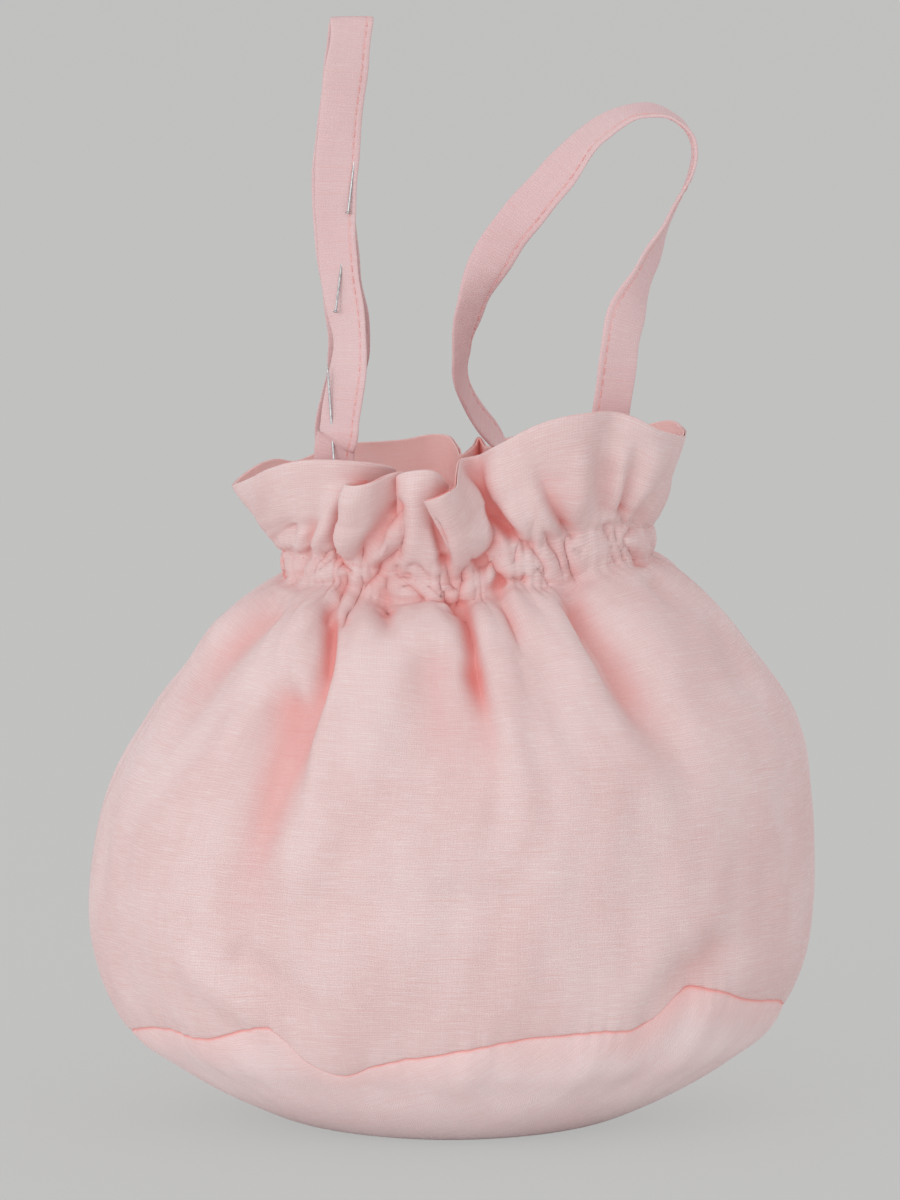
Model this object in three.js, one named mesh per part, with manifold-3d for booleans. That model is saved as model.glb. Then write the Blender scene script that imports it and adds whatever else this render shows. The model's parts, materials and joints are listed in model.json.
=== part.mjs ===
// Gathered linen pouch: two wall panels and a round base, each doubled by a lining, an elastic in the
// stitched channel below the frill, two strap handles sewn inside the mouth, and the three dressmaker's
// pins that hold the left handle. Millimetres, +Z up, front towards -Y, standing on the base at Z = 0.
import * as THREE from 'three';
import { mergeVertices } from 'three/addons/utils/BufferGeometryUtils.js';
import Module from 'manifold-3d';

// Cloth
const CLOTH = 0.6;
const GAP = 0.3;
const SEAM_GAP = 0.9;

// Base bowl
const FOOT_WIDTH = 68;
const FOOT_DEPTH = 66;
const SEAM_WIDTH = 196;
const SEAM_DEPTH = 144;
const SEAM_HEIGHT = 31;
const BOWL_POWER = 2;

// Wall
const BELLY_WIDTH = 217;
const BELLY_DEPTH = 150;
const BELLY_HEIGHT = 76;
const SHOULDER_WIDTH = 190;
const SHOULDER_DEPTH = 138;
const SHOULDER_HEIGHT = 126;
const SHOULDER_LEAN = 7.3;
const COLLAR_WIDTH = 145;
const COLLAR_DEPTH = 107;
const COLLAR_HEIGHT = 154.5;
const COLLAR_LEAN = 6.5;

// Long creases that run down from the channel, in degrees round the pouch from its right side
const CREASE_ANGLES = [25, 54, 84, 110, 134, 214, 240, 268, 296, 326];
const CREASE_SPREAD = 7;
const CREASE_DEPTH = 7;
const CREASE_SHARE_BETWEEN = 0.25;

// Gathered channel and frill
const NECK_WIDTH = 116;
const NECK_DEPTH = 78;
const NECK_LEAN = 4;
const CHANNEL_HEIGHT = 165;
const CHANNEL_WIDTH = 13.5;
const FRILL_HEIGHT = 27;
const FRILL_WIDTH = 138;
const FRILL_DEPTH = 98;
const MOUTH_TILT = 4;
const FOLD_COUNT = 16;
const SHOULDER_FOLD = 0.6;
const NECK_FOLD = 1.6;
const FRILL_FOLD = 4.6;
const ELASTIC_WIDTH = 9;
const ELASTIC_THICKNESS = 0.8;
const CHANNEL_ROOM = 0.6;

// Handles
const STRAP_WIDTH = 12.7;
const STRAP_THICKNESS = 1.2;
const STRAP_SEAT = 0.9;
const STRAP_STEP = 4;
const PIVOT_GAP = 1;
const SEWN_ANGLE = 45;
const PIVOT_RISE = 3;
const LEFT_LOOP_RISE = 126.4;
const RIGHT_LOOP_RISE = 98.5;

// Pins
const PIN_DIAMETER = 0.7;
const PIN_LENGTH = 29.5;
const PIN_HEAD_DIAMETER = 1.8;
const PIN_HEAD_THICKNESS = 0.5;
const PIN_POINT = 3;
const PIN_SHOWN = 12.6;
const PIN_TRAVEL = 22;

const COLUMNS = 80;
const BASE_COLUMNS = 48;
const WALL_ROWS = [0, 0.5, 1, 1.5, 2, 2.5, 3, 3.5, 4, 4.5, 5, 5.5, 6].map((ring) => ring / 6);
const CHANNEL_FROM = 4 / 6;
const CHANNEL_TO = 5 / 6;
const BOWL_ROWS = 6;
const PIN_SIDES = 10;
const ROUND_SHARES = [0.5, 0.85, 0.99];

const linen = new THREE.MeshStandardMaterial({ color: 0xdec2c2, roughness: 0.9, metalness: 0 });
const liningLinen = new THREE.MeshStandardMaterial({ color: 0xd6b4b3, roughness: 0.9, metalness: 0 });
const elasticRubber = new THREE.MeshStandardMaterial({ color: 0xf2efea, roughness: 0.8, metalness: 0 });
const pinSteel = new THREE.MeshStandardMaterial({ color: 0xb9bcc0, roughness: 0.25, metalness: 1 });

const wasm = await Module();
wasm.setup();
const group = new THREE.Group();
group.name = 'linen_pouch';

// The rings that the wall runs through, from the base seam up to the edge of the frill.
const frillTop = CHANNEL_HEIGHT + CHANNEL_WIDTH + FRILL_HEIGHT;
const tilt = Math.tan(THREE.MathUtils.degToRad(MOUTH_TILT));
const rings = [
  { width: SEAM_WIDTH, depth: SEAM_DEPTH, height: SEAM_HEIGHT, lean: 0, tilt: 0, fold: 0, crease: 0 },
  { width: BELLY_WIDTH, depth: BELLY_DEPTH, height: BELLY_HEIGHT, lean: 0, tilt: 0, fold: 0.3, crease: 0 },
  {
    width: SHOULDER_WIDTH,
    depth: SHOULDER_DEPTH,
    height: SHOULDER_HEIGHT,
    lean: SHOULDER_LEAN,
    tilt: 0,
    fold: SHOULDER_FOLD,
    crease: 0.6,
  },
  {
    width: COLLAR_WIDTH,
    depth: COLLAR_DEPTH,
    height: COLLAR_HEIGHT,
    lean: COLLAR_LEAN,
    tilt: tilt / 4,
    fold: SHOULDER_FOLD,
    crease: 1,
  },
  {
    width: NECK_WIDTH,
    depth: NECK_DEPTH,
    height: CHANNEL_HEIGHT,
    lean: NECK_LEAN,
    tilt,
    fold: NECK_FOLD,
    crease: 0,
  },
  {
    width: NECK_WIDTH,
    depth: NECK_DEPTH,
    height: CHANNEL_HEIGHT + CHANNEL_WIDTH,
    lean: NECK_LEAN,
    tilt,
    fold: NECK_FOLD,
    crease: 0,
  },
  {
    width: FRILL_WIDTH,
    depth: FRILL_DEPTH,
    height: frillTop,
    lean: NECK_LEAN,
    tilt,
    fold: FRILL_FOLD,
    crease: 0,
  },
];
const sizeCurve = new THREE.CatmullRomCurve3(
  rings.map((ring) => new THREE.Vector3(ring.width / 2, ring.depth / 2, ring.height)),
);
const leanCurve = new THREE.CatmullRomCurve3(
  rings.map((ring) => new THREE.Vector3(ring.lean, ring.tilt, 0)),
);
const foldCurve = new THREE.CatmullRomCurve3(
  rings.map((ring) => new THREE.Vector3(ring.fold, ring.crease, 0)),
);

// The folds flatten where a handle is sewn on, at SEWN_ANGLE from the sides, front and back.
function foldShare(angle) {
  const degrees = THREE.MathUtils.radToDeg(angle);
  const fromSide = Math.abs(((degrees + 90) % 180 + 180) % 180 - 90);
  return THREE.MathUtils.smoothstep(Math.abs(fromSide - SEWN_ANGLE), 11, 22);
}

// How deep the long creases cut in at an angle: below 0 on the full cloth between two of them.
function creaseShare(angle) {
  const degrees = THREE.MathUtils.euclideanModulo(THREE.MathUtils.radToDeg(angle), 360);
  const dips = CREASE_ANGLES.map((at) => Math.exp(-Math.pow((degrees - at) / CREASE_SPREAD, 2)));
  return Math.max(...dips) - CREASE_SHARE_BETWEEN;
}

// A point of the wall's outside: rise runs 0 to 1 from the base seam to the edge of the frill. The folds
// are spread evenly along the oval, not by its angle.
function wallPoint(rise, angle) {
  const size = sizeCurve.getPoint(rise);
  const lean = leanCurve.getPoint(rise);
  const depths = foldCurve.getPoint(rise);
  const cos = Math.cos(angle);
  const sin = Math.sin(angle);
  const out = new THREE.Vector2(cos / size.x, sin / size.y).normalize();
  const even = angle - (size.x - size.y) / (size.x + size.y) / 2 * Math.sin(2 * angle);
  const fold = depths.x * Math.cos(FOLD_COUNT * even) * foldShare(angle);
  const crease = depths.y * CREASE_DEPTH * creaseShare(angle);
  return new THREE.Vector3(
    lean.x + size.x * cos + (fold - crease) * out.x,
    size.y * sin + (fold - crease) * out.y,
    size.z + lean.y * size.x * cos,
  );
}

// A point of the base bowl's outside: spread runs 0 to 1 from the edge of the flat foot to the seam.
function bowlPoint(spread, angle) {
  const halfWidth = THREE.MathUtils.lerp(FOOT_WIDTH, SEAM_WIDTH, spread) / 2;
  const halfDepth = THREE.MathUtils.lerp(FOOT_DEPTH, SEAM_DEPTH, spread) / 2;
  const height = SEAM_HEIGHT * Math.pow(Math.max(spread, 0), BOWL_POWER);
  return new THREE.Vector3(halfWidth * Math.cos(angle), halfDepth * Math.sin(angle), height);
}

// The outward direction of a surface, from two short steps across it.
function outward(surface, along, angle) {
  const low = Math.max(along - 0.004, 0);
  const high = Math.min(along + 0.004, 1);
  const up = surface(high, angle).sub(surface(low, angle));
  const around = surface(along, angle + 0.004).sub(surface(along, angle - 0.004));
  return around.cross(up).normalize();
}

function inset(surface, along, angle, depth) {
  return surface(along, angle).addScaledVector(outward(surface, along, angle), -depth);
}

function geometryOf(points, triangles) {
  const geometry = new THREE.BufferGeometry();
  const flat = new Float32Array(points.flatMap((point) => point.toArray()));
  geometry.setAttribute('position', new THREE.BufferAttribute(flat, 3));
  geometry.setIndex(triangles.flat());
  geometry.computeVertexNormals();
  return geometry;
}

// A cloth shell: two grids of points, the outside and the inside, closed along their edges. A ring
// wraps round, a panel has two side edges, and a bowl ends in one middle point at its first row.
function shell(outside, inside, wraps, middle) {
  const rows = outside.length;
  const columns = outside[0].length;
  const points = [...outside.flat(), ...inside.flat()];
  const triangles = [];
  const spans = wraps ? columns : columns - 1;
  const at = (side, row, column) => side * rows * columns + row * columns + column % columns;
  const quad = (a, b, c, d) => triangles.push([a, b, c], [a, c, d]);
  for (let column = 0; column < spans; column += 1) {
    for (let row = 0; row < rows - 1; row += 1) {
      const next = column + 1;
      quad(at(0, row, column), at(0, row, next), at(0, row + 1, next), at(0, row + 1, column));
      quad(at(1, row, column), at(1, row + 1, column), at(1, row + 1, next), at(1, row, next));
    }
    const top = rows - 1;
    quad(at(0, top, column), at(0, top, column + 1), at(1, top, column + 1), at(1, top, column));
    if (middle) {
      const [outerMiddle, innerMiddle] = [points.length, points.length + 1];
      triangles.push([outerMiddle, at(0, 0, column + 1), at(0, 0, column)]);
      triangles.push([innerMiddle, at(1, 0, column), at(1, 0, column + 1)]);
    } else {
      quad(at(1, 0, column), at(1, 0, column + 1), at(0, 0, column + 1), at(0, 0, column));
    }
  }
  if (middle) {
    points.push(middle.outer, middle.inner);
  }
  if (!wraps) {
    const last = columns - 1;
    for (let row = 0; row < rows - 1; row += 1) {
      quad(at(1, row, 0), at(0, row, 0), at(0, row + 1, 0), at(1, row + 1, 0));
      quad(at(0, row, last), at(1, row, last), at(1, row + 1, last), at(0, row + 1, last));
    }
  }
  return geometryOf(points, triangles);
}

function add(name, geometry, material) {
  const mesh = new THREE.Mesh(geometry, material);
  mesh.name = name;
  group.add(mesh);
  return mesh;
}

// How deep the lining lies inside the wall's outside; it steps in round the elastic.
const liningDepth = CLOTH + GAP;
const elasticDepth = CLOTH + CHANNEL_ROOM;
const channelDepth = elasticDepth + ELASTIC_THICKNESS + CHANNEL_ROOM;
function liningInset(rise) {
  const below = THREE.MathUtils.smoothstep(rise, CHANNEL_FROM - 0.07, CHANNEL_FROM);
  const above = 1 - THREE.MathUtils.smoothstep(rise, CHANNEL_TO, CHANNEL_TO + 0.07);
  return THREE.MathUtils.lerp(liningDepth, channelDepth, below * above);
}

// One wall panel from side seam to side seam. The seam gap lies on the sides of the pouch.
function wallPanel(from, to, depthAt) {
  const columns = COLUMNS / 2;
  const grid = (extra) => WALL_ROWS.map((rise) => {
    const margin = SEAM_GAP / 2 / sizeCurve.getPoint(rise).y;
    const row = [];
    for (let column = 0; column <= columns; column += 1) {
      const angle = THREE.MathUtils.lerp(from, to, column / columns);
      const kept = THREE.MathUtils.clamp(angle, from + margin, to - margin);
      row.push(inset(wallPoint, rise, kept, depthAt(rise) + extra));
    }
    return row;
  });
  return shell(grid(0), grid(CLOTH), false, null);
}

add('outer_front', wallPanel(Math.PI, 2 * Math.PI, () => 0), linen);
add('outer_back', wallPanel(0, Math.PI, () => 0), linen);
add('lining_front', wallPanel(Math.PI, 2 * Math.PI, liningInset), liningLinen);
add('lining_back', wallPanel(0, Math.PI, liningInset), liningLinen);

// The base panel and its lining: a shallow bowl on a flat foot.
function basePanel(depth) {
  const rim = 1 - 2 * SEAM_GAP / (SEAM_WIDTH - FOOT_WIDTH);
  const grid = (extra) => {
    const rows = [];
    for (let row = 0; row < BOWL_ROWS; row += 1) {
      const spread = rim * row / (BOWL_ROWS - 1);
      const points = [];
      for (let column = 0; column < BASE_COLUMNS; column += 1) {
        const angle = 2 * Math.PI * column / BASE_COLUMNS;
        points.push(inset(bowlPoint, spread, angle, depth + extra));
      }
      rows.push(points);
    }
    const level = depth + extra;
    rows[0].forEach((point) => point.setZ(level));
    return rows;
  };
  const middle = {
    outer: new THREE.Vector3(0, 0, depth),
    inner: new THREE.Vector3(0, 0, depth + CLOTH),
  };
  return shell(grid(0), grid(CLOTH), true, middle);
}

add('outer_base', basePanel(0), linen);
add('lining_base', basePanel(liningDepth), liningLinen);

// The elastic: a flat ring in the stitched channel, between the wall and its lining.
function elasticRing() {
  const margin = (CHANNEL_WIDTH - ELASTIC_WIDTH) / CHANNEL_WIDTH / 2;
  const rises = [margin, 1 - margin].map((share) => THREE.MathUtils.lerp(CHANNEL_FROM, CHANNEL_TO, share));
  const grid = (depth) => rises.map((rise) => {
    const row = [];
    for (let column = 0; column < COLUMNS; column += 1) {
      row.push(inset(wallPoint, rise, 2 * Math.PI * column / COLUMNS, depth));
    }
    return row;
  });
  return shell(grid(elasticDepth), grid(elasticDepth + ELASTIC_THICKNESS), true, null);
}

add('casing_elastic', elasticRing(), elasticRubber);

// A station of a strap: the middle of its section and the direction that its outer face looks.
function station(x, y, z, faceX, faceY, faceZ) {
  return { at: new THREE.Vector3(x, y, z), face: new THREE.Vector3(faceX, faceY, faceZ) };
}

// The sewn end of a strap, flat against the lining at the channel.
function sewnStation(rise, angle) {
  const depth = channelDepth + CLOTH + STRAP_SEAT + STRAP_THICKNESS / 2;
  const at = inset(wallPoint, rise, angle, depth);
  const face = outward(wallPoint, rise, angle).setZ(0).normalize();
  return { at, face };
}

// A strap follows its stations. Its section at a place is found between the two nearest of them, and
// travel gives the place that lies a distance further along.
function strapRoute(stations) {
  const curve = new THREE.CatmullRomCurve3(stations.map((stop) => stop.at));
  const last = stations.length - 1;
  const frame = (place) => {
    const t = THREE.MathUtils.clamp(place / last, 0, 1);
    const before = Math.min(Math.floor(place), last - 1);
    const share = THREE.MathUtils.smoothstep(place - before, 0, 1);
    const tangent = curve.getTangent(t);
    const face = stations[before].face.clone().normalize();
    face.lerp(stations[before + 1].face.clone().normalize(), share);
    face.addScaledVector(tangent, -face.dot(tangent)).normalize();
    return { at: curve.getPoint(t), tangent, face, side: tangent.clone().cross(face) };
  };
  const travel = (place, distance) => {
    const step = Math.sign(distance) * 0.004;
    let here = place;
    for (let gone = 0; gone < Math.abs(distance); here += step) {
      gone += frame(here).at.distanceTo(frame(here + step).at);
    }
    return here;
  };
  return { frame, travel, last };
}

// The flat section of a strap, with folded long edges.
function strapSection(width) {
  const half = STRAP_THICKNESS / 2;
  const flank = width / 2 - Math.min(half, width / 4);
  return [[-width / 2, 0], [-flank, -half], [flank, -half], [width / 2, 0], [flank, half], [-flank, half]];
}

// The places of the sections along a strap, so that no two lie further apart than STRAP_STEP.
function strapPlaces(route, from, to) {
  const places = [{ place: from, width: STRAP_WIDTH }];
  for (let stop = Math.floor(from); stop < to; stop += 1) {
    const start = Math.max(stop, from);
    const end = Math.min(stop + 1, to);
    const length = route.frame(start).at.distanceTo(route.frame(end).at);
    const steps = Math.max(Math.ceil(length / STRAP_STEP), 2);
    for (let step = 1; step <= steps; step += 1) {
      places.push({ place: THREE.MathUtils.lerp(start, end, step / steps), width: STRAP_WIDTH });
    }
  }
  return places;
}

// The half-round end of a loop about its pivot, which lets the loop turn above the sewn end.
function roundEnd(route, pivot, direction) {
  return ROUND_SHARES.map((share) => ({
    place: route.travel(pivot, direction * share * STRAP_WIDTH / 2),
    width: STRAP_WIDTH * Math.sqrt(1 - share * share),
  }));
}

// A length of strap skinned over its places.
function strapSolid(route, places) {
  const points = [];
  const triangles = [];
  const count = strapSection(STRAP_WIDTH).length;
  places.forEach(({ place, width }, ring) => {
    const { at, face, side } = route.frame(place);
    strapSection(width).forEach(([across, out], corner) => {
      points.push(at.clone().addScaledVector(side, across).addScaledVector(face, out));
      if (ring > 0) {
        const a = (ring - 1) * count + corner;
        const b = (ring - 1) * count + (corner + 1) % count;
        triangles.push([a, b + count, b], [a, a + count, b + count]);
      }
    });
  });
  const end = (places.length - 1) * count;
  for (let corner = 1; corner < count - 1; corner += 1) {
    triangles.push([0, corner, corner + 1], [end, end + corner + 1, end + corner]);
  }
  return geometryOf(points, triangles);
}

// Left handle: up from the front, over a tight fold, down behind itself and away to the back. Its
// stations are drawn from its front pivot for a rise of 129.4 and scaled to LEFT_LOOP_RISE.
const sewn = THREE.MathUtils.degToRad(SEWN_ANGLE);
const sewnRises = [CHANNEL_FROM + 0.03, (CHANNEL_FROM + CHANNEL_TO) / 2, CHANNEL_TO];
const frontLeft = sewnRises.map((rise) => sewnStation(rise, Math.PI + sewn));
const backLeft = sewnRises.map((rise) => sewnStation(rise, Math.PI - sewn)).reverse();
const frontRight = sewnRises.map((rise) => sewnStation(rise, -sewn));
const backRight = sewnRises.map((rise) => sewnStation(rise, sewn)).reverse();
const pivotHeight = frillTop + PIVOT_RISE;
const tuck = STRAP_THICKNESS + PIN_DIAMETER + 2 * GAP;
const [leftX, leftFrontY] = frontLeft.at(-1).at.toArray();
const leftBackY = backLeft[0].at.y;
const leftScale = LEFT_LOOP_RISE / 129.4;
function leftStation(x, y, z, faceX, faceY, faceZ) {
  const at = [leftX + x * leftScale, leftFrontY + y * leftScale, pivotHeight + z * leftScale];
  return station(...at, faceX, faceY, faceZ);
}
const leftRoute = strapRoute([
  ...frontLeft,
  station(leftX, leftFrontY, pivotHeight, -0.4, -0.9, 0),
  leftStation(0.9, 0.5 - tuck / leftScale, 3.5, -0.3, -0.9, 0),
  leftStation(1.9, 2, 10, -0.4, -0.9, 0),
  leftStation(4.7, 8, 30, -0.6, -0.8, 0),
  leftStation(1.6, 14, 52, -0.4, -0.9, 0),
  leftStation(0.4, 17, 75, -0.1, -1, 0),
  leftStation(2.1, 18, 100, 0.1, -1, 0),
  leftStation(5.1, 18, 125, 0.2, -1, 0),
  leftStation(5.3, 20.5, 129.4, 0, 0, 1),
  leftStation(4.5, 23, 125, -0.2, 1, 0),
  leftStation(1.4, 20.4, 100, -0.1, 1, 0),
  leftStation(-0.4, 19.4, 75, 0.1, 1, 0),
  leftStation(1.4, 18, 52, 0.2, 1, 0),
  leftStation(4.4, 24, 30, 0, 1, 0.5),
  station(leftX + 2 * leftScale, leftBackY - 9 * leftScale, pivotHeight + 10 * leftScale, -0.2, 0.9, 0.5),
  station(leftX, leftBackY - leftScale, pivotHeight, -0.4, 0.9, 0),
  ...backLeft,
]);
const leftPivots = [frontLeft.length, leftRoute.last - backLeft.length];

// The two sewn ends of a handle stop below its pivots, clear of the loop's half-round ends.
function frontEnd(route, pivot) {
  return strapSolid(route, strapPlaces(route, 0, route.travel(pivot, -STRAP_WIDTH / 2 - PIVOT_GAP)));
}

function backEnd(route, pivot) {
  return strapSolid(route, strapPlaces(route, route.travel(pivot, STRAP_WIDTH / 2 + PIVOT_GAP), route.last));
}

function loop(route, [front, back]) {
  return strapSolid(route, [
    ...roundEnd(route, front, -1).reverse(),
    ...strapPlaces(route, front, back),
    ...roundEnd(route, back, 1),
  ]);
}

add('left_handle_front_end', frontEnd(leftRoute, leftPivots[0]), linen);
add('left_handle_back_end', backEnd(leftRoute, leftPivots[1]), linen);

// Right handle: up from the front, round the top edge-on, down face-on and twisting into the mouth.
// Its stations are drawn from its sewn ends for a rise of 101.5 and scaled to RIGHT_LOOP_RISE.
const [rightX, rightFrontY] = frontRight.at(-1).at.toArray();
const rightBackY = backRight[0].at.y;
const rightScale = RIGHT_LOOP_RISE / 101.5;
function rightStation(x, y, z, faceX, faceY, faceZ) {
  const at = [rightX + x * rightScale, rightFrontY + y * rightScale, pivotHeight + z * rightScale];
  return station(...at, faceX, faceY, faceZ);
}
function rightBackStation(x, y, z, faceX, faceY, faceZ) {
  const at = [rightX + x * rightScale, rightBackY + y * rightScale, pivotHeight + z * rightScale];
  return station(...at, faceX, faceY, faceZ);
}
const rightRoute = strapRoute([
  ...frontRight,
  rightStation(4, -3, 0, 0.4, -0.9, 0),
  rightStation(7, -1, 20, 0.4, -0.9, 0),
  rightStation(10, 2, 38, 0.5, -0.9, 0),
  rightStation(17, 7, 55, 0.9, -0.5, -0.2),
  rightStation(23.6, 11, 69, 1, -0.1, -0.3),
  rightStation(30.3, 15, 83, 1, 0.1, 0),
  rightStation(30.8, 17, 92, 1, 0.1, 0.3),
  rightStation(25.4, 19, 99, 0.6, 0, 0.8),
  rightStation(15, 20, 101.5, 0, -0.2, 1),
  rightStation(1.6, 20, 95, -0.4, -0.4, 0.8),
  rightStation(-12, 19, 80, -0.3, -0.8, 0.4),
  rightStation(-28, 19, 60, -0.2, -1, 0.2),
  rightStation(-37, 22, 40, 0, -1, 0),
  rightStation(-39, 27, 24, 0.9, -0.4, 0),
  rightBackStation(-37, -13.5, 10, 0.8, 0.5, 0.2),
  rightBackStation(-31, -6.5, -2, 0.4, 0.8, 0.4),
  rightBackStation(-17, -1.5, -16, 0.4, 0.9, 0.2),
  ...backRight,
]);
const rightPivots = [frontRight.length, rightRoute.last - backRight.length - 1];
add('right_handle_front_end', frontEnd(rightRoute, rightPivots[0]), linen);
add('right_handle_loop', loop(rightRoute, rightPivots), linen);
add('right_handle_back_end', backEnd(rightRoute, rightPivots[1]), linen);

// A pin stands on its head at its own origin and points up +Y. The sleeve is the room that it needs
// in the strap, along its length and along the way that its head takes when it is pulled out.
const pinRadius = PIN_DIAMETER / 2;
function pinShape() {
  return new THREE.LatheGeometry([
    new THREE.Vector2(0, 0),
    new THREE.Vector2(PIN_HEAD_DIAMETER / 2, 0),
    new THREE.Vector2(PIN_HEAD_DIAMETER / 2, PIN_HEAD_THICKNESS),
    new THREE.Vector2(pinRadius, PIN_HEAD_THICKNESS),
    new THREE.Vector2(pinRadius, PIN_LENGTH - PIN_POINT),
    new THREE.Vector2(0, PIN_LENGTH),
  ], PIN_SIDES);
}

function sleeveShape() {
  const headRoom = PIN_HEAD_DIAMETER / 2 + GAP;
  return new THREE.LatheGeometry([
    new THREE.Vector2(0, -PIN_TRAVEL - GAP),
    new THREE.Vector2(headRoom, -PIN_TRAVEL - GAP),
    new THREE.Vector2(headRoom, PIN_HEAD_THICKNESS + GAP),
    new THREE.Vector2(pinRadius + GAP, PIN_HEAD_THICKNESS + GAP),
    new THREE.Vector2(pinRadius + GAP, PIN_LENGTH + GAP),
    new THREE.Vector2(0, PIN_LENGTH + GAP),
  ], PIN_SIDES);
}

function solidOf(geometry) {
  const bare = geometry.clone();
  bare.deleteAttribute('normal');
  bare.deleteAttribute('uv');
  const merged = mergeVertices(bare, 1e-4);
  const vertProperties = new Float32Array(merged.attributes.position.array);
  const triVerts = new Uint32Array(merged.index.array);
  return new wasm.Manifold(new wasm.Mesh({ numProp: 3, vertProperties, triVerts }));
}

function geometryFrom(solid) {
  const { vertProperties, triVerts, numProp } = solid.getMesh();
  const points = [];
  for (let index = 0; index < vertProperties.length; index += numProp) {
    points.push(new THREE.Vector3().fromArray(vertProperties, index));
  }
  return geometryOf(points, [Array.from(triVerts)]);
}

// A pin that lies on the strap's face and dives into it: place and across say where it goes in.
function divingPin(place, across, slant, dive) {
  const { at, tangent, face, side } = leftRoute.frame(place);
  const direction = tangent.clone();
  direction.addScaledVector(face, -Math.tan(THREE.MathUtils.degToRad(dive)));
  direction.addScaledVector(side, Math.tan(THREE.MathUtils.degToRad(slant)));
  direction.normalize();
  const head = at.addScaledVector(face, STRAP_THICKNESS / 2).addScaledVector(side, across);
  head.addScaledVector(direction, -PIN_SHOWN);
  return { head, direction };
}

// The lowest pin runs under the tucked-up strap between two places where it shows.
function tuckedPin(place, across, slant, below) {
  const { at, face } = leftRoute.frame(place);
  const low = leftRoute.frame(place - 1).at;
  const high = leftRoute.frame(place + 2).at;
  const direction = high.sub(low).normalize();
  const side = direction.clone().cross(face).normalize();
  direction.addScaledVector(side, Math.tan(THREE.MathUtils.degToRad(slant))).normalize();
  const head = at.addScaledVector(face, -tuck / 2).addScaledVector(side, across);
  head.addScaledVector(direction, -below);
  return { head, direction };
}

const pins = {
  pin_upper: divingPin(8.31, 4.9, 3, 9),
  pin_middle: divingPin(7, 0.6, 8.5, 11),
  pin_lower: tuckedPin(4, -2, -13, 8),
};
let leftLoop = solidOf(loop(leftRoute, leftPivots));
for (const [name, pin] of Object.entries(pins)) {
  const turn = new THREE.Quaternion().setFromUnitVectors(new THREE.Vector3(0, 1, 0), pin.direction);
  const placed = new THREE.Matrix4().compose(pin.head, turn, new THREE.Vector3(1, 1, 1));
  add(name, pinShape().applyMatrix4(placed), pinSteel);
  leftLoop = leftLoop.subtract(solidOf(sleeveShape().applyMatrix4(placed)));
}
add('left_handle_loop', geometryFrom(leftLoop), linen);

export default group;
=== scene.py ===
import json
import math
import bpy
import numpy as np
from mathutils.bvhtree import BVHTree
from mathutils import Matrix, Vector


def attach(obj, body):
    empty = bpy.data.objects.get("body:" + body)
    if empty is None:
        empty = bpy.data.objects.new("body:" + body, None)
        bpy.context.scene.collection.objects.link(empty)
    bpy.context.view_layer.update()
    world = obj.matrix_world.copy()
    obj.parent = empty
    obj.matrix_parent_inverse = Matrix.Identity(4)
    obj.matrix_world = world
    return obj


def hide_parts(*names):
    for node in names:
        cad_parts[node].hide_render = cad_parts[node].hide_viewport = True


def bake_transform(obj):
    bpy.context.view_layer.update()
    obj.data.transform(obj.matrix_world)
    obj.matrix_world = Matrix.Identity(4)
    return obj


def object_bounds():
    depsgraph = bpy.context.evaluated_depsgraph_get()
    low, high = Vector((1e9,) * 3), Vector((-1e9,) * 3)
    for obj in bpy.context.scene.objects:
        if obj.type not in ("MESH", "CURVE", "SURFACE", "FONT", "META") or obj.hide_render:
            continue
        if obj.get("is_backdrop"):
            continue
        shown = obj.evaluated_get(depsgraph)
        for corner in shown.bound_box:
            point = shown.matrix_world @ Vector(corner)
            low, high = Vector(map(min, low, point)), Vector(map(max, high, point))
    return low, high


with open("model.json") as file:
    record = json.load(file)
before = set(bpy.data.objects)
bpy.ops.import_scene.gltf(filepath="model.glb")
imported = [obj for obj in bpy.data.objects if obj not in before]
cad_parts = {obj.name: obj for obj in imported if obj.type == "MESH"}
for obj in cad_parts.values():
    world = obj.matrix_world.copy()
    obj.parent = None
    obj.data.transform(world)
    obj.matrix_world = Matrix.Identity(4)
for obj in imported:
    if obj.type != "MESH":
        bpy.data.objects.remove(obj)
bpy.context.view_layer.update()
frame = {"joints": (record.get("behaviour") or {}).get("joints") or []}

# Outer walls. Two panels of thin slubby linen, sewn together at the sides and to a round base. A
# stitched channel gathers them into a neck, and the free edge above it stands up as a frill.
# Lengths are in millimetres until the mesh is made. The front looks towards -Y.
MM = 0.001
COLUMNS = 672
WALL_ROWS = 76
CHANNEL_ROWS = 18
FRILL_ROWS = 40
BASE_ROWS = 30
CLOTH_ROUND = 570
FRILL_LENGTH = 34
FLOOR_ROOM = 0.6
SEAM_STEPS = np.array([0, 0.35, 0.8, 1.6])
VIEW_RISE = math.radians(10)

# Rings from the foot up to the top of the channel: middle, half width, half depth, height, tilt.
body_rings = np.array([
    [0, 36, 34, 0, 0],
    [0, 51, 43, 2.5, 0],
    [0, 61, 50, 6.5, 0],
    [0, 74, 58, 13, 0],
    [0, 84.5, 63.5, 19.5, 0],
    [0, 94.5, 69, 26.5, 0],
    [0.2, 102, 73, 38.5, 0],
    [0.7, 105.8, 75, 49, 0],
    [0.4, 107.9, 76.3, 67, 0],
    [0.8, 107.6, 76.3, 79, 0],
    [2.3, 105.6, 75.5, 97, 0],
    [7, 97.8, 71.5, 121, 0],
    [8, 87.8, 65.5, 136, 0],
    [6.8, 75.6, 56.5, 152.5, 0.005],
    [6.4, 65.2, 48.6, 161.3, 0.025],
    [5.4, 58.6, 43.2, 165.4, 0.05],
    [4.8, 54.4, 39.2, 167.6, 0.06],
    [4.8, 55, 39.5, 172, 0.06],
    [4.8, 54.4, 38.8, 177, 0.06],
])
BELLY_RING = 8
CROWD_RING = 10
NECK_RING = 16

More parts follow.
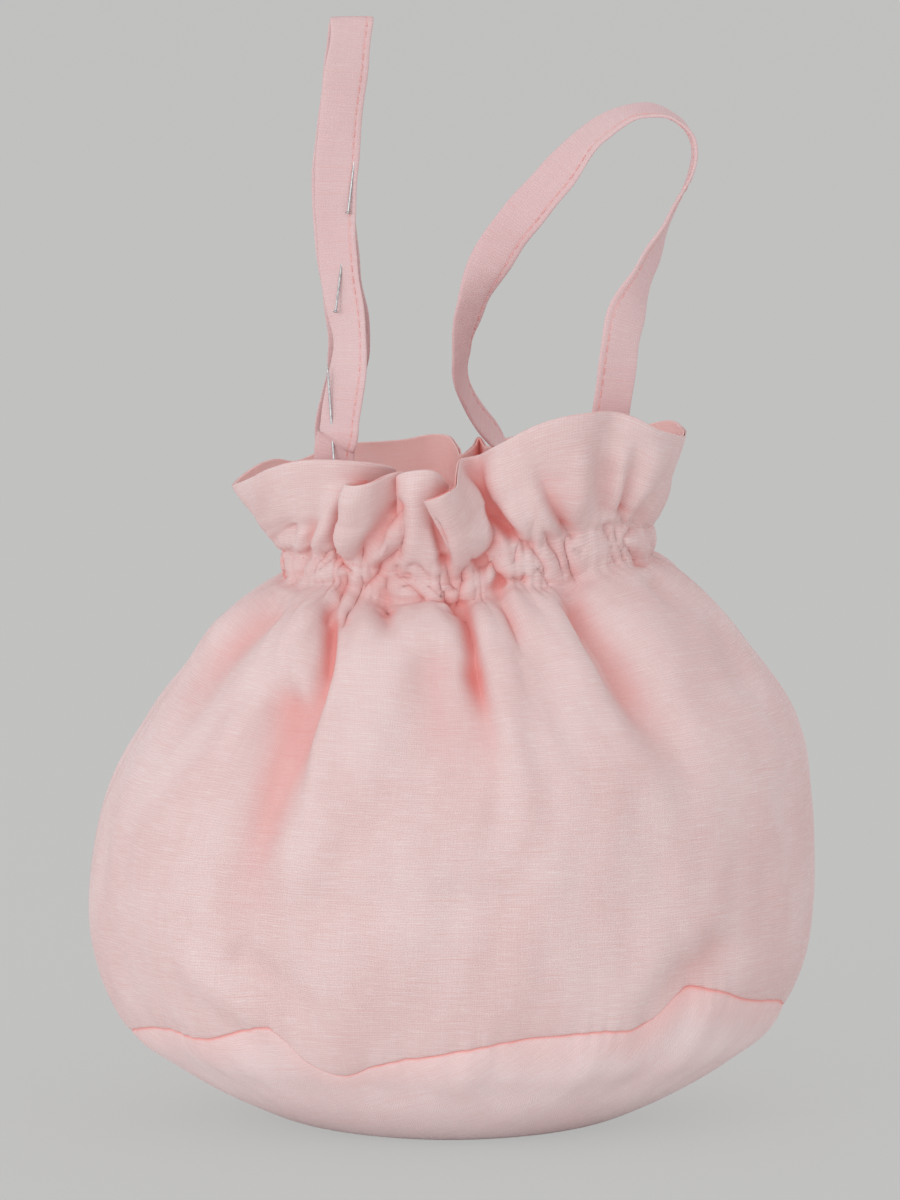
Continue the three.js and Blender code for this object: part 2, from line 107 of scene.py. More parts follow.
# The wavy line of the base seam: share of the way round, height.
seam_line = np.array([
    [0, 27], [0.07, 33], [0.11, 34], [0.135, 38], [0.152, 39.5], [0.168, 30], [0.182, 25.5],
    [0.21, 29], [0.25, 34], [0.285, 37], [0.33, 39], [0.362, 41], [0.377, 49], [0.395, 48.5],
    [0.425, 43], [0.465, 39], [0.5, 34], [0.58, 37], [0.66, 32], [0.74, 36], [0.83, 31],
    [0.92, 35], [1, 27],
])

# The free edge of the frill, from the left side over the front to the right side and back behind: its
# x, y and z, and the x in the channel at which the cloth below that place is stitched down.
front_edge = np.array([
    [-65.1, -4, 193.3, -51.5], [-59.4, -17, 197.8, -50.5], [-54, -26, 202.1, -48.5],
    [-45.9, -33, 205.5, -45], [-37.5, -37, 206.6, -41], [-28.5, -38, 206.3, -37.5],
    [-21, -35, 204.9, -35.5], [-16.2, -28, 202.1, -34.3], [-21.6, -31, 200.8, -33.8],
    [-27.6, -40, 200.3, -33.2], [-30.6, -46, 200.7, -32.5], [-27.6, -50, 201.1, -30],
    [-24, -50, 201.7, -27.6], [-19.8, -46.5, 203.2, -25.2], [-15.6, -43, 203.9, -23.4],
    [-12.2, -40.5, 203.3, -21.5], [-14, -42.5, 202.6, -18.5], [-15.9, -45.5, 203, -15],
    [-13.8, -48, 204.6, -12.5], [-9.6, -50, 205.7, -10], [-5.4, -50, 205.7, -7.5],
    [-2.4, -46, 202.9, -5], [-0.6, -43, 199.3, -1.5], [-3.6, -50, 197.8, 2.5],
    [-7.5, -55, 197.5, 6], [-4.2, -58, 198.6, 7.5], [-0.6, -56, 200.1, 9], [1.5, -50, 201.1, 10.2],
    [2.1, -42, 204, 11.5], [3.3, -36, 206.6, 13], [6.6, -33, 206.7, 15], [8.4, -32, 207.1, 18.5],
    [10.8, -36, 209, 20.5], [16.5, -42, 213.1, 23], [24, -46, 217.8, 26], [33, -47, 221, 30],
    [42, -44, 221.9, 35], [48.6, -37.5, 221.3, 40.5], [55.5, -36.5, 219.1, 47],
    [61.5, -33, 215.3, 53], [66.6, -24, 212.1, 57], [69.6, -10, 209.3, 59.5],
])
back_edge = np.array([
    [70.4, 2, 208.6, 60], [70.2, 8, 208.3, 59], [66.9, 20, 208.9, 56], [61.5, 28, 206.9, 51],
    [53, 30, 204.5, 45], [45, 40, 202.6, 39], [36, 46, 201.8, 33], [28.5, 41, 201.3, 27],
    [20, 45, 200, 21], [15, 42, 199.2, 16.5], [11.4, 34, 198.5, 13.5], [8.7, 44, 200.1, 10.5],
    [6.9, 36, 198.5, 7.5], [3.6, 33, 196.3, 4.5], [2.4, 40, 197.5, 2], [-0.6, 48, 199.7, -1],
    [-6, 50, 199.7, -5], [-13.5, 47, 198.7, -10], [-21, 45, 198.4, -16], [-30, 42, 198.3, -23],
    [-35, 36, 197.2, -28], [-39, 39, 196.3, -32], [-46.5, 32, 194.6, -38], [-52.5, 24, 196.6, -43],
    [-57.6, 14, 196.6, -47], [-63, 4, 194.4, -50],
])

# How far the two rows of stitches of the front rise and dip: x, lower row, upper row.
row_lifts = np.array([
    [-51, 0, 0], [-47, 1, 0], [-33, 3, 1.5], [-26, 0.5, -1.5], [-18, -3, -2.5], [-8, -3, -6],
    [3, -5, -7], [11, -1, -0.5], [18, 1.5, 2], [29, -1, 3], [37, -1, 5], [44, 3, 6], [54, 2, 4],
    [60, 0, 0],
])

# Folds as they are seen: depth, width at the start, width at the end, the side on which the fold is
# steep (1 right, -1 left, 0 neither), and its line, as x and height in the view from 10 degrees above.
front_folds = [
    (5.5, 3, 6, 1, [(-35, 156), (-35.7, 148), (-36.2, 140), (-38.6, 128.5), (-43.5, 113.5), (-46, 96),
        (-48, 78)]),
    (8, 6, 11, 0, [(-46, 135), (-48.5, 128), (-51.5, 113.5), (-55.5, 95.5), (-60, 76), (-66, 54),
        (-69, 40)]),
    (6, 4, 10, -1, [(-48, 160), (-59.5, 150), (-71, 138), (-81.5, 118.6), (-88, 102)]),
    (3, 2.5, 4, 0, [(-19.2, 156), (-19, 150), (-18, 141)]),
    (6, 3.8, 3.4, 1, [(3, 160), (6, 150), (7.6, 141), (8.4, 134), (10.8, 125), (13, 115)]),
    (4.4, 4, 13, 1, [(7, 142), (9.4, 127), (11.6, 115), (13, 104), (12, 90), (9, 70)]),
    (4, 8, 12, 0, [(-4, 146), (-5, 130), (-3, 110), (-1, 90), (0, 70)]),
    (3.4, 3.4, 5, 1, [(13.5, 163), (15.6, 156), (17.5, 150.8), (19.3, 146), (20.3, 141), (20, 130)]),
    (6.5, 4, 14, -1, [(32, 164), (35.5, 155.5), (41.5, 145), (48, 135.5), (55, 125), (66, 112),
        (86, 88)]),
    (3, 3, 5, 0, [(59, 164), (60.6, 161.5), (70.5, 153.1), (77, 147)]),
    (2.5, 4, 7, 0, [(78, 154), (81.9, 149.2), (88.8, 134.5), (92, 122)]),
    (-2.6, 4.5, 4, 0, [(-80, 52), (-70, 41), (-56.4, 31.5), (-45, 19), (-34, 4)]),
    (2.6, 5, 6, 0, [(-68, 52), (-56, 43), (-45, 33), (-34, 22)]),
    (4, 6, 7, 0, [(84, 58), (78.6, 49.3), (67, 39), (61, 29), (52, 12)]),
    (1.2, 6, 6, 0, [(-60, 62), (-45, 64), (10, 66), (72, 61.9), (88, 58)]),
]
back_folds = [
    (6, 4, 9, 1, [(-38, 158), (-42, 142), (-52, 120), (-58, 98)]),
    (5, 4, 8, 0, [(-16, 157), (-17, 140), (-14, 118), (-16, 104)]),
    (6, 4, 10, -1, [(13, 157), (16, 141), (24, 120), (27, 98)]),
    (5.5, 4, 10, 1, [(44, 160), (52, 143), (66, 122), (74, 102)]),
    (4, 4, 8, 0, [(64, 160), (76, 147), (88, 126)]),
    (3.5, 6, 6, 0, [(-84, 60), (-70, 44), (-54, 26), (-46, 12)]),
    (3.5, 6, 6, 0, [(86, 60), (70, 46), (56, 28), (46, 14)]),
]

# Creases of the gathered front as they are seen, soft folds of its frill from the channel up, and the
# bulges between them: depth or height, width and line, as x and height in the view.
front_creases = [
    (2.2, 1.5, [(-34.6, 151), (-35.2, 144), (-35.6, 137), (-36.4, 130)]),
    (1.2, 1.4, [(-50.7, 170.2), (-48.3, 170.5), (-45.6, 171.7)]),
    (1, 1.4, [(-50.4, 169.9), (-50.1, 167.2), (-48.8, 163.9), (-48.3, 160)]),
    (2, 1.6, [(-46.2, 170.8), (-48.1, 167.2), (-47.7, 163), (-45.6, 158.5)]),
    (3.3, 1.9, [(-41.4, 172.6), (-42.9, 170.2), (-44.7, 167.2), (-45.6, 163.9), (-44.7, 160)]),
    (2.4, 1.4, [(-33.9, 170.5), (-37.2, 169), (-40.5, 166.3), (-41.4, 161.5)]),
    (1.8, 1.3, [(-33.9, 168.4), (-37.2, 166.3), (-39.9, 163.9)]),
    (3, 1.4, [(-31.5, 189.4), (-32.7, 181.9), (-34.2, 172), (-32.4, 166.3), (-28.8, 163.8),
        (-26.4, 164.8)]),
    (2.8, 1.6, [(-32.1, 166), (-31.5, 160.6), (-33, 156.7), (-36.3, 150.7), (-36.9, 145.3)]),
    (2.7, 1.6, [(-26.4, 164.5), (-26.4, 160), (-27.6, 156.4), (-30.6, 151.9), (-33, 145.3)]),
    (3.3, 1.7, [(-13.2, 175), (-17.7, 168.7), (-20.4, 166.3), (-21.6, 164.2), (-24.3, 160.3),
        (-27, 156.4)]),
    (2.4, 1.4, [(-16.2, 166.9), (-15.3, 162.4), (-12.3, 162.4), (-10.5, 161.5)]),
    (3, 1.7, [(-18.6, 164.5), (-19.5, 160), (-19.5, 155.8), (-18.9, 151.9), (-17.4, 149.2)]),
    (3.3, 1.7, [(-15.3, 187), (-14.7, 183.1), (-13.5, 175.9), (-15.6, 168.7), (-15.3, 165.1)]),
    (2.1, 1.3, [(-14.1, 165.1), (-10.2, 165.5), (-8.1, 163.6), (-5.1, 160)]),
    (2.5, 1.4, [(-15.3, 157.9), (-12.9, 160), (-10.2, 157.9), (-9, 156.1), (-6.3, 154.3)]),
    (2.2, 1.3, [(-7.8, 160.6), (-4.2, 157.6), (-1.5, 154.3)]),
    (2.1, 1.3, [(-3.3, 163.9), (-3, 160), (-1.8, 155.8)]),
    (3, 1.6, [(-1.5, 160), (-0.6, 153.4), (0.9, 151.9), (3.6, 150.7)]),
    (2.7, 1.4, [(6.3, 166.3), (3.3, 160.6), (2.7, 155.8), (1.8, 151)]),
    (3.9, 1.7, [(8.4, 184.6), (11.7, 178.9), (13.2, 175), (12.6, 171.1), (10.8, 168.1),
        (8.7, 165.7), (6.3, 166.3), (4.5, 164.2)]),
    (3.3, 1.6, [(11.4, 168.1), (13.5, 164.5), (15.3, 161.2), (16.8, 158.8)]),
    (3.9, 1.9, [(11.1, 184.9), (14.7, 179.8), (18.9, 175), (21, 172.9), (24, 171.7), (27, 171.7)]),
    (2.2, 1.3, [(20.4, 172.9), (19.8, 169), (19.2, 165.7)]),
    (2.5, 1.4, [(23.7, 171.7), (26.4, 168.1), (28.5, 164.5), (28.8, 161.2)]),
    (2.1, 1.2, [(17.4, 160.9), (19.2, 161.8), (21.3, 161.2), (22.5, 163.9)]),
    (2.1, 1.3, [(25.2, 165.7), (28.2, 162.1), (30.3, 158.8)]),
    (2.7, 1.6, [(26.4, 175.3), (28.8, 174.7), (29.7, 172.6), (32.4, 168.4), (33.6, 164.5),
        (34.5, 160.9)]),
    (2.7, 1.4, [(34.5, 175.3), (34.8, 170.2), (35.7, 166.9), (36.6, 163), (39, 159.7)]),
    (1.5, 1.2, [(35.7, 171.1), (37.8, 170.5), (39.9, 169.3)]),
    (2.7, 2, [(45.3, 179.2), (47.7, 175), (48.9, 171.1), (49.5, 167.5), (51.9, 165.7)]),
    (2.4, 1.4, [(50.1, 179.5), (50.4, 173.8), (51.9, 169), (52.5, 165.7)]),
    (2.1, 1.4, [(51.3, 183.4), (51.3, 179.5), (53.4, 177.1)]),
    (2.4, 1.4, [(55.8, 181.6), (54.9, 177.4), (52.5, 173.8), (55.5, 168.1), (56.4, 166),
        (60.3, 165.4)]),
    (1.8, 1.4, [(58.8, 178.3), (60.6, 175), (59.4, 170.5)]),
    (1.8, 2, [(-48.6, 178), (-46.8, 174.1), (-45.9, 171.7)]),
    (3, 1.6, [(-3.6, 169.6), (-1.2, 164.8), (0, 161.2), (2.7, 156.7)]),
    (2.4, 1.4, [(33.6, 177.4), (35.4, 175.6), (37.8, 173.8)]),
]
frill_folds = [
    (3, 1.8, 4, 1, [(-42.6, 171.1), (-41.4, 175.6), (-39, 180), (-36.6, 184)]),
    (2.2, 2.4, 3.5, 0, [(-53.4, 173.2), (-49.8, 176.5), (-45.6, 178.3), (-40, 179.5)]),
    (3.2, 2.2, 4.5, 1, [(-27, 165.1), (-25.2, 170.2), (-22, 173.5), (-18.7, 177.5), (-16.8, 182),
        (-16, 188.5)]),
    (2.6, 1.8, 3, -1, [(-2, 163.9), (-2.6, 170), (-3.6, 175), (-5.4, 180), (-8, 186)]),
    (5, 2.4, 4.6, -1, [(20.2, 172.3), (16.5, 176.5), (12, 182.5), (8, 190.3), (5.2, 198.1), (4, 203.5)]),
    (3.6, 1.8, 8, -1, [(36.3, 174.7), (33.6, 178), (31.2, 182.2), (27.6, 190.3), (23.4, 200.5),
        (20.4, 206.5)]),
    (2.3, 2, 7, 0, [(45.6, 178.9), (45.9, 185.5), (46.8, 195.1), (47.7, 203.5), (48, 209.5)]),
    (3.2, 1.6, 6, -1, [(50.5, 178.9), (51.8, 185), (53.5, 191.5), (56.6, 201.7), (58.5, 208)]),
    (2.6, 1.5, 5, 0, [(54.9, 178.3), (57.3, 182.2), (60, 186.4), (64.2, 193.6), (67.8, 199)]),
]
front_bulges = [
    (1.8, 2.6, [(-54.6, 177.1), (-50.7, 172.6), (-47.7, 172.6)]),
    (1.6, 1.8, [(-45, 177.1), (-43.8, 172), (-45, 168.1)]),
    (3, 2.6, [(-31.5, 192.1), (-35.4, 181.9), (-37.8, 175), (-41.1, 169)]),
    (3.2, 3, [(-29.4, 192.1), (-31.2, 178.9), (-32.1, 171.1), (-29.1, 166)]),
    (3, 2.2, [(-13.8, 184), (-16.2, 175.9), (-19.8, 170.5), (-24, 163.9)]),
    (2.4, 3, [(-11.4, 194.5), (-10.8, 179.5), (-11.7, 169.9), (-7.8, 165.1)]),
    (3.2, 4, [(4.8, 194.5), (9, 179.5), (10.5, 172), (7.8, 168.1)]),
    (3.2, 4, [(12, 199), (16.5, 184), (23.4, 174.4), (27.9, 174.4)]),
    (2.4, 3.4, [(39.6, 203.5), (38.1, 187), (36.3, 176.5)]),
    (1.8, 3, [(51.6, 203.5), (50.4, 191.5), (48.6, 181)]),
    (2.2, 3, [(63, 203.5), (58.5, 190), (53.7, 180.1)]),
    (2.4, 6, [(-36, 157.9), (-45, 148), (-56.4, 135.1)]),
    (1.9, 4.5, [(-23.1, 154.3), (-26.4, 143.5), (-29.4, 128.5)]),
    (1.4, 6, [(-13.5, 153.1), (-15, 140.5), (-17, 119.5)]),
    (2, 5, [(9.6, 157.3), (15, 143.5), (24, 125.5)]),
    (2.2, 7, [(24, 157.6), (33, 143.5), (48, 122.5)]),
    (2, 8, [(48, 161.5), (60, 149.5), (78, 125.5)]),
]


def through(knots, values, at):
    """A smooth curve through the values at the rising knots, read at the places in at."""
    knots = np.asarray(knots, float)
    values = np.asarray(values, float)
    slopes = np.gradient(values, knots, axis=0)
    at = np.clip(np.asarray(at, float), knots[0], knots[-1])
    low = np.clip(np.searchsorted(knots, at, side="right") - 1, 0, len(knots) - 2)
    shape = at.shape + (1,) * (values.ndim - 1)
    span = (knots[low + 1] - knots[low]).reshape(shape)
    part = (at - knots[low]).reshape(shape) / span
    rise = part * part * (3 - 2 * part)
    bend = span * part * (1 - part)
    return (
        values[low] * (1 - rise)
        + values[low + 1] * rise
        + bend * (1 - part) * slopes[low]
        - bend * part * slopes[low + 1]
    )


def chord_knots(points, power=1.0):
    """Rising knots for points, spaced by their distances to a power. With 1 they are lengths."""
    steps = np.linalg.norm(np.diff(np.asarray(points, float), axis=0), axis=-1) ** power
    return np.concatenate([[0], np.cumsum(steps)])


def soft_step(low, high, value):
    """0 up to low, 1 from high on, and a smooth rise between them."""
    part = np.clip((value - low) / (high - low), 0, 1)
    return part * part * (3 - 2 * part)


def round_blur(field, passes):
    """Evens a field out along its closed columns."""
    for _ in range(passes):
        field = (np.roll(field, 1, -1) + np.roll(field, -1, -1) + 2 * field) / 4
    return field


def grid_normals(grid):
    """Outward normals of a grid whose rows rise and whose columns run from left over the front."""
    round_way = np.roll(grid, -1, 1) - np.roll(grid, 1, 1)
    up_way = np.gradient(grid, axis=0)
    normal = np.cross(round_way, up_way)
    return normal / np.maximum(np.linalg.norm(normal, axis=-1, keepdims=True), 1e-9)


# The free edge, with the columns spread evenly along it, half of them on each panel.
share = np.arange(COLUMNS) / COLUMNS
edge_table = np.vstack([front_edge, back_edge, front_edge[:1]])
ROUND_BEND = 0.5
EDGE_SAMPLES = 6000
edge_knots = chord_knots(edge_table[:, :3], ROUND_BEND)
edge_dense = np.linspace(0, edge_knots[-1], EDGE_SAMPLES)
edge_curve = through(edge_knots, edge_table[:, :3], edge_dense)
edge_length = chord_knots(edge_curve)
point_length = np.interp(edge_knots, edge_dense, edge_length)
panel_ends = [0, point_length[len(front_edge)], edge_length[-1]]
edge_places = np.interp(share, [0, 0.5, 1], panel_ends)
frill_edge = np.stack(
    [np.interp(edge_places, edge_length, edge_curve[:, k]) for k in range(3)], axis=-1
)

# The share of the way round the channel at which each column is stitched down, and the direction of
# each column at the belly and in the channel.
TURN_SAMPLES = 4001
FOOT_BLUR = 40
turn = np.linspace(0, 2 * math.pi, TURN_SAMPLES)


def oval_lengths(half_width, half_depth):
    """The length round an oval up to each of the turns."""
    return chord_knots(np.stack([half_width * np.cos(turn), half_depth * np.sin(turn)], axis=1))


def even_turn(half_width, half_depth, parts):
    """The directions of places at even parts of the way round an oval, from its left end."""
    length = oval_lengths(half_width, half_depth)
    return math.pi + np.interp(parts * length[-1], length, turn)


neck_middle, neck_half, neck_deep = body_rings[NECK_RING, :3]
front_turn = math.pi - np.arccos(np.clip((front_edge[:, 3] - neck_middle) / neck_half, -1, 1))
back_turn = math.pi + np.arccos(np.clip((back_edge[:, 3] - neck_middle) / neck_half, -1, 1))
foot_turn = np.concatenate([front_turn, back_turn, front_turn[:1] + 2 * math.pi])
neck_lengths = oval_lengths(neck_half, neck_deep)
foot_share = np.interp(foot_turn, turn, neck_lengths / neck_lengths[-1])
foot_share[-1] = 1 + foot_share[0]
point_share = np.interp(point_length, panel_ends, [0, 0.5, 1])
channel_share = share + round_blur(np.interp(share, point_share, foot_share) - share, FOOT_BLUR)
belly_turn = even_turn(*body_rings[BELLY_RING, 1:3], share)
whole_turns = 2 * math.pi * np.floor(channel_share)
neck_turn = even_turn(neck_half, neck_deep, channel_share % 1) + whole_turns

# One smooth profile from the foot to the channel, and the place of the seam on it for each column.
ring_places = chord_knots(body_rings[:, 1:4])
PROFILE_SAMPLES = 1200
profile_places = np.linspace(0, ring_places[-1], PROFILE_SAMPLES)
profile = through(ring_places, body_rings, profile_places)
neck_place = ring_places[NECK_RING]
belly_end = np.argmax(profile[:, 1])
seam_heights = through(seam_line[:, 0], seam_line[:, 1], share)
seam_place = np.interp(seam_heights, profile[:belly_end, 3], profile_places[:belly_end])


def body_points(places):
    """Points of the smooth body for a grid of places on the profile, one column for each share."""
    middle, half_width, half_depth, height, tilt = (
        np.interp(places, profile_places, profile[:, k]) for k in range(5)
    )
    crowd = soft_step(ring_places[CROWD_RING], neck_place, places)
    angle = belly_turn + crowd * (neck_turn - belly_turn)
    across = half_width * np.cos(angle)
    return np.stack([middle + across, half_depth * np.sin(angle), height + tilt * across], axis=-1)


# Rows of the grid. They lie closer together towards the neck, and close to the seam on both sides.
WALL_CROWDING = 1.35
base_steps = np.linspace(1, 0, BASE_ROWS)
base_places = np.vstack([
    base_steps[1:][::-1, None] * (seam_place - SEAM_STEPS[-1]),
    seam_place - SEAM_STEPS[::-1, None],
])
wall_parts = 1 - (1 - np.linspace(0, 1, WALL_ROWS)[:, None]) ** WALL_CROWDING
wall_places = np.vstack([
    seam_place + SEAM_STEPS[1:-1, None],
    seam_place + SEAM_STEPS[-1] + wall_parts * (neck_place - seam_place - SEAM_STEPS[-1]),
])
channel_places = np.linspace(neck_place, ring_places[-1], CHANNEL_ROWS)[1:, None] + 0 * share
body_places = np.vstack([base_places, wall_places, channel_places])
SEAM_ROW = len(base_places) - 1
NECK_ROW = len(base_places) + len(wall_places) - 1
body = body_points(body_places)
body_normal = grid_normals(body)


def line_distance(points, line, steps):
    """How far points in the view lie from a line, on its right more than 0, and the nearest part of it."""
    knots = chord_knots(line)
    along = np.linspace(0, 1, steps)
    path = through(knots / knots[-1], line, along)
    away = np.full(points.shape[:2], 1e9)
    right = np.zeros(points.shape[:2])
    part = np.zeros(points.shape[:2])
    for k in range(steps - 1):
        way = path[k + 1] - path[k]
        offset = points - path[k]
        reach = np.clip((offset * way).sum(-1) / (way * way).sum(), 0, 1)
        distance = np.linalg.norm(offset - reach[..., None] * way, axis=-1)
        nearer = distance < away
        away = np.where(nearer, distance, away)
        across = way[1] * offset[..., 0] - way[0] * offset[..., 1]
        right = np.where(nearer, np.sign(way[1]) * across, right)
        part = np.where(nearer, along[k] + reach / (steps - 1), part)
    return away * np.sign(right), part


def view_points(points, facing):
    """Points as x and height in a view from 10 degrees above, on the side that looks to facing."""
    seen = points[..., 2] * math.cos(VIEW_RISE) - facing * points[..., 1] * math.sin(VIEW_RISE)
    return np.stack([points[..., 0], seen], axis=-1)


# A fold is steeper on one side and has a raised rim. Folds, creases and bulges grow over the first
# share of their lines and fade from the second one on.
STEEPNESS = 0.55
FOLD_RIM = 0.42
FOLD_STEPS = 14
FOLD_GROWN = 0.12
FOLD_FADES = 0.3
CREASE_STEPS = 16
CREASE_GROWN = 0.18
CREASE_FADES = 0.8
BULGE_STEPS = 12
BULGE_GROWN = 0.3
BULGE_FADES = 0.6


def looks_out(normal, facing):
    """1 where the cloth looks to the side facing, down to 0 where it turns away."""
    return soft_step(0.02, 0.35, normal[..., 1] * facing)


def fold_depth(points, normal, folds, facing):
    """How far the soft folds of one side push points along their normals."""
    flat = view_points(points, facing)
    push = np.zeros(points.shape[:2])
    for depth, first_width, last_width, steep, line in folds:
        away, part = line_distance(flat, line, FOLD_STEPS)
        width = first_width + (last_width - first_width) * part
        width = width * np.where(away * steep > 0, STEEPNESS, 1)
        fade = soft_step(0, FOLD_GROWN, part) * (1 - soft_step(FOLD_FADES, 1, part))
        reach = (away / width) ** 2
        push -= depth * fade * (1 - FOLD_RIM * reach) * np.exp(-reach / 2)
    return push * looks_out(normal, facing)


def crease_depth(points, normal, creases, bulges, facing):
    """The sharp creases and soft bulges of one side: a push along the normals, and the creases alone."""
    flat = view_points(points, facing)
    crease = np.zeros(points.shape[:2])
    bulge = np.zeros(points.shape[:2])
    for depth, width, line in creases:
        away, part = line_distance(flat, line, CREASE_STEPS)
        ends = soft_step(0, CREASE_GROWN, part) * (1 - soft_step(CREASE_FADES, 1, part))
        crease = np.maximum(crease, depth * ends * np.exp(-np.abs(away) / width))
    for height, width, line in bulges:
        away, part = line_distance(flat, line, BULGE_STEPS)
        ends = soft_step(0, BULGE_GROWN, part) * (1 - soft_step(BULGE_FADES, 1, part))
        bulge += height * ends * np.exp(-(away / width) ** 2)
    side = looks_out(normal, facing)
    return (bulge - crease) * side, crease * side


def crumple(seed, round_range, up_range, count, up_place):
    """Soft seeded ripples over the cloth, about 1 high."""
    pick = np.random.RandomState(seed)
    field = np.zeros(up_place.shape)
    for _ in range(count):
        round_waves = pick.randint(round_range[0], round_range[1])
        up_waves = pick.uniform(up_range[0], up_range[1])
        start = pick.uniform(0, 2 * math.pi)
        field += np.cos(2 * math.pi * (round_waves * share + up_waves * up_place) + start)
    return field / math.sqrt(count / 2)


# Soft folds and ripples of the wall. The foot stays flat.
SOFT_RIPPLE = 0.55
FINE_RIPPLE = 0.2
RIPPLES_FROM = 3.3
RIPPLES_FULL = 33
up_share = body_places / 100
below = np.maximum(neck_place - body_places, 0)
in_channel = np.clip((body_places - neck_place) / (ring_places[-1] - neck_place), 0, 1)
folds = fold_depth(body, body_normal, front_folds, -1) + fold_depth(body, body_normal, back_folds, 1)
soft = SOFT_RIPPLE * crumple(11, (3, 15), (-1.2, 1.2), 14, up_share)
fine = FINE_RIPPLE * crumple(12, (18, 46), (-2.5, 2.5), 22, up_share)
lift = folds + (soft + fine) * soft_step(RIPPLES_FROM, RIPPLES_FULL, body[..., 2])

# The base seam sinks in a narrow groove in a wider dip, less where its line runs steeply, and puckers
# the cloth beside it.
GROOVE_DEPTH = 0.4
GROOVE_WIDTH = 0.5
DIP_DEPTH = 0.35
DIP_WIDTH = 2.2
STEEP_LOSS = 0.8
SEAM_PUCKERS = 70
SEAM_PUCKER_DEPTH = 0.22
SEAM_PUCKER_REACH = 5
groove = np.abs(body_places - seam_place)
seam_slope = np.abs(np.roll(seam_place, -1) - np.roll(seam_place, 1)) / (2 * CLOTH_ROUND / COLUMNS)
seam_flat = 1 - STEEP_LOSS * soft_step(0.35, 0.8, seam_slope)
sunk = GROOVE_DEPTH * np.exp(-(groove / GROOVE_WIDTH) ** 2)
sunk = sunk + DIP_DEPTH * np.exp(-(groove / DIP_WIDTH) ** 2)
seam_turn = 2 * math.pi * SEAM_PUCKERS * share
seam_pucker = np.cos(seam_turn + 3 * crumple(15, (3, 17), (0, 1), 9, up_share))
seam_pucker = seam_pucker * np.exp(-groove / SEAM_PUCKER_REACH)
lift = lift - seam_flat * sunk + SEAM_PUCKER_DEPTH * seam_pucker

# The rows of stitches rise and dip with the cloth that they hold. The back is the front turned round.
ROW_BLUR = 60
ROW_LIFT_REACH = 12
in_front = share < 0.5
neck_x = body[NECK_ROW, :, 0]
front_x = np.where(in_front, neck_x, 2 * neck_middle - neck_x)
low_lift = round_blur(np.interp(front_x, row_lifts[:, 0], row_lifts[:, 1]), ROW_BLUR)
high_lift = round_blur(np.interp(front_x, row_lifts[:, 0], row_lifts[:, 2]), ROW_BLUR)
row_lift = low_lift * (1 - in_channel) + high_lift * in_channel
body[..., 2] += row_lift * np.exp(-below / ROW_LIFT_REACH)
body = body + lift[..., None] * body_normal
body[..., 2] = np.maximum(body[..., 2], FLOOR_ROOM)

# The frill swells out above the upper row of stitches and opens into its pleats up to the free edge.
SWELL = 1.4
DEPTH_OPENING = 1.45
WIDTH_OPENING = 1.2
FRILL_BLUR = 16
EDGE_BLUR = 3


def round_blur_points(grid, passes):
    """Evens a grid of points out along its closed columns."""
    return round_blur(grid.swapaxes(1, 2), passes).swapaxes(1, 2)


neck_out = body_normal[-1]
frill_part = np.linspace(0, 1, FRILL_ROWS)[1:, None, None]
opening = 1 - (1 - frill_part) ** DEPTH_OPENING
spread = 1 - (1 - frill_part) ** WIDTH_OPENING
way_out = frill_edge - body[-1]
part_out = np.concatenate(np.broadcast_arrays(spread, opening, frill_part), axis=-1)
frill = body[-1] + way_out * part_out
swelling = np.sin(math.pi * np.clip(frill_part / 0.5, 0, 1)) ** 0.8
frill = frill + SWELL * swelling * neck_out
rounded = round_blur_points(frill, FRILL_BLUR)
frill = rounded + (round_blur_points(frill, EDGE_BLUR) - rounded) * frill_part ** 2
cloth = np.vstack([body, frill])

# Sharp creases and bulges where the cloth is gathered, and small puckers at the rows of stitches. The
# cloth lies flat beside the two side seams.
GATHER_FROM = NECK_ROW - 48
PUCKERS = 64
PUCKER_DEPTH = 0.25
PUCKER_WANDER = 2.2
LOW_ROW_REACH = 7
HIGH_ROW_REACH = 6
FLAT_AT_SIDE = 2
GATHERED_FROM_SIDE = 11
NORMAL_BLUR = 8
BACK_FADE_ROWS = 14
NECK_TILT = body_rings[NECK_RING, 4]
gathered = cloth[GATHER_FROM:]
gather_normal = grid_normals(round_blur_points(gathered, NORMAL_BLUR))


def turned_round(lines):
    """Lines of the front, turned half round to the back of the neck."""
    def turned(x, up):
        return 2 * neck_middle - x, up + 2 * NECK_TILT * (neck_middle - x)
    return [
        (depth, width, [turned(x, up) for x, up in line]) for depth, width, line in lines
    ]


front_push, front_crease = crease_depth(gathered, gather_normal, front_creases, front_bulges, -1)
frill_push = fold_depth(gathered, gather_normal, frill_folds, -1)
back_push, back_crease = crease_depth(
    gathered, gather_normal, turned_round(front_creases), turned_round(front_bulges), 1
)
gather_rows = np.arange(GATHER_FROM, len(cloth))[:, None]
CHANNEL_TOP = NECK_ROW + CHANNEL_ROWS - 1
back_fade = 1 - soft_step(CHANNEL_TOP, CHANNEL_TOP + BACK_FADE_ROWS, gather_rows)
wander = PUCKER_WANDER * crumple(4, (3, 23), (0, 0.4), 13, gather_rows / 40 + 0 * share)
small = np.cos(2 * math.pi * PUCKERS * channel_share + wander)
near_low_row = np.exp(-((gather_rows - NECK_ROW) / LOW_ROW_REACH) ** 2)
near_high_row = np.exp(-((gather_rows - CHANNEL_TOP) / HIGH_ROW_REACH) ** 2)
puckers = PUCKER_DEPTH * small * (near_low_row + near_high_row)
push = front_push + frill_push + back_push * back_fade + puckers
to_side = np.minimum(np.abs(share - 0.5), np.minimum(share, 1 - share)) * CLOTH_ROUND
push = push * soft_step(FLAT_AT_SIDE, GATHERED_FROM_SIDE, to_side)
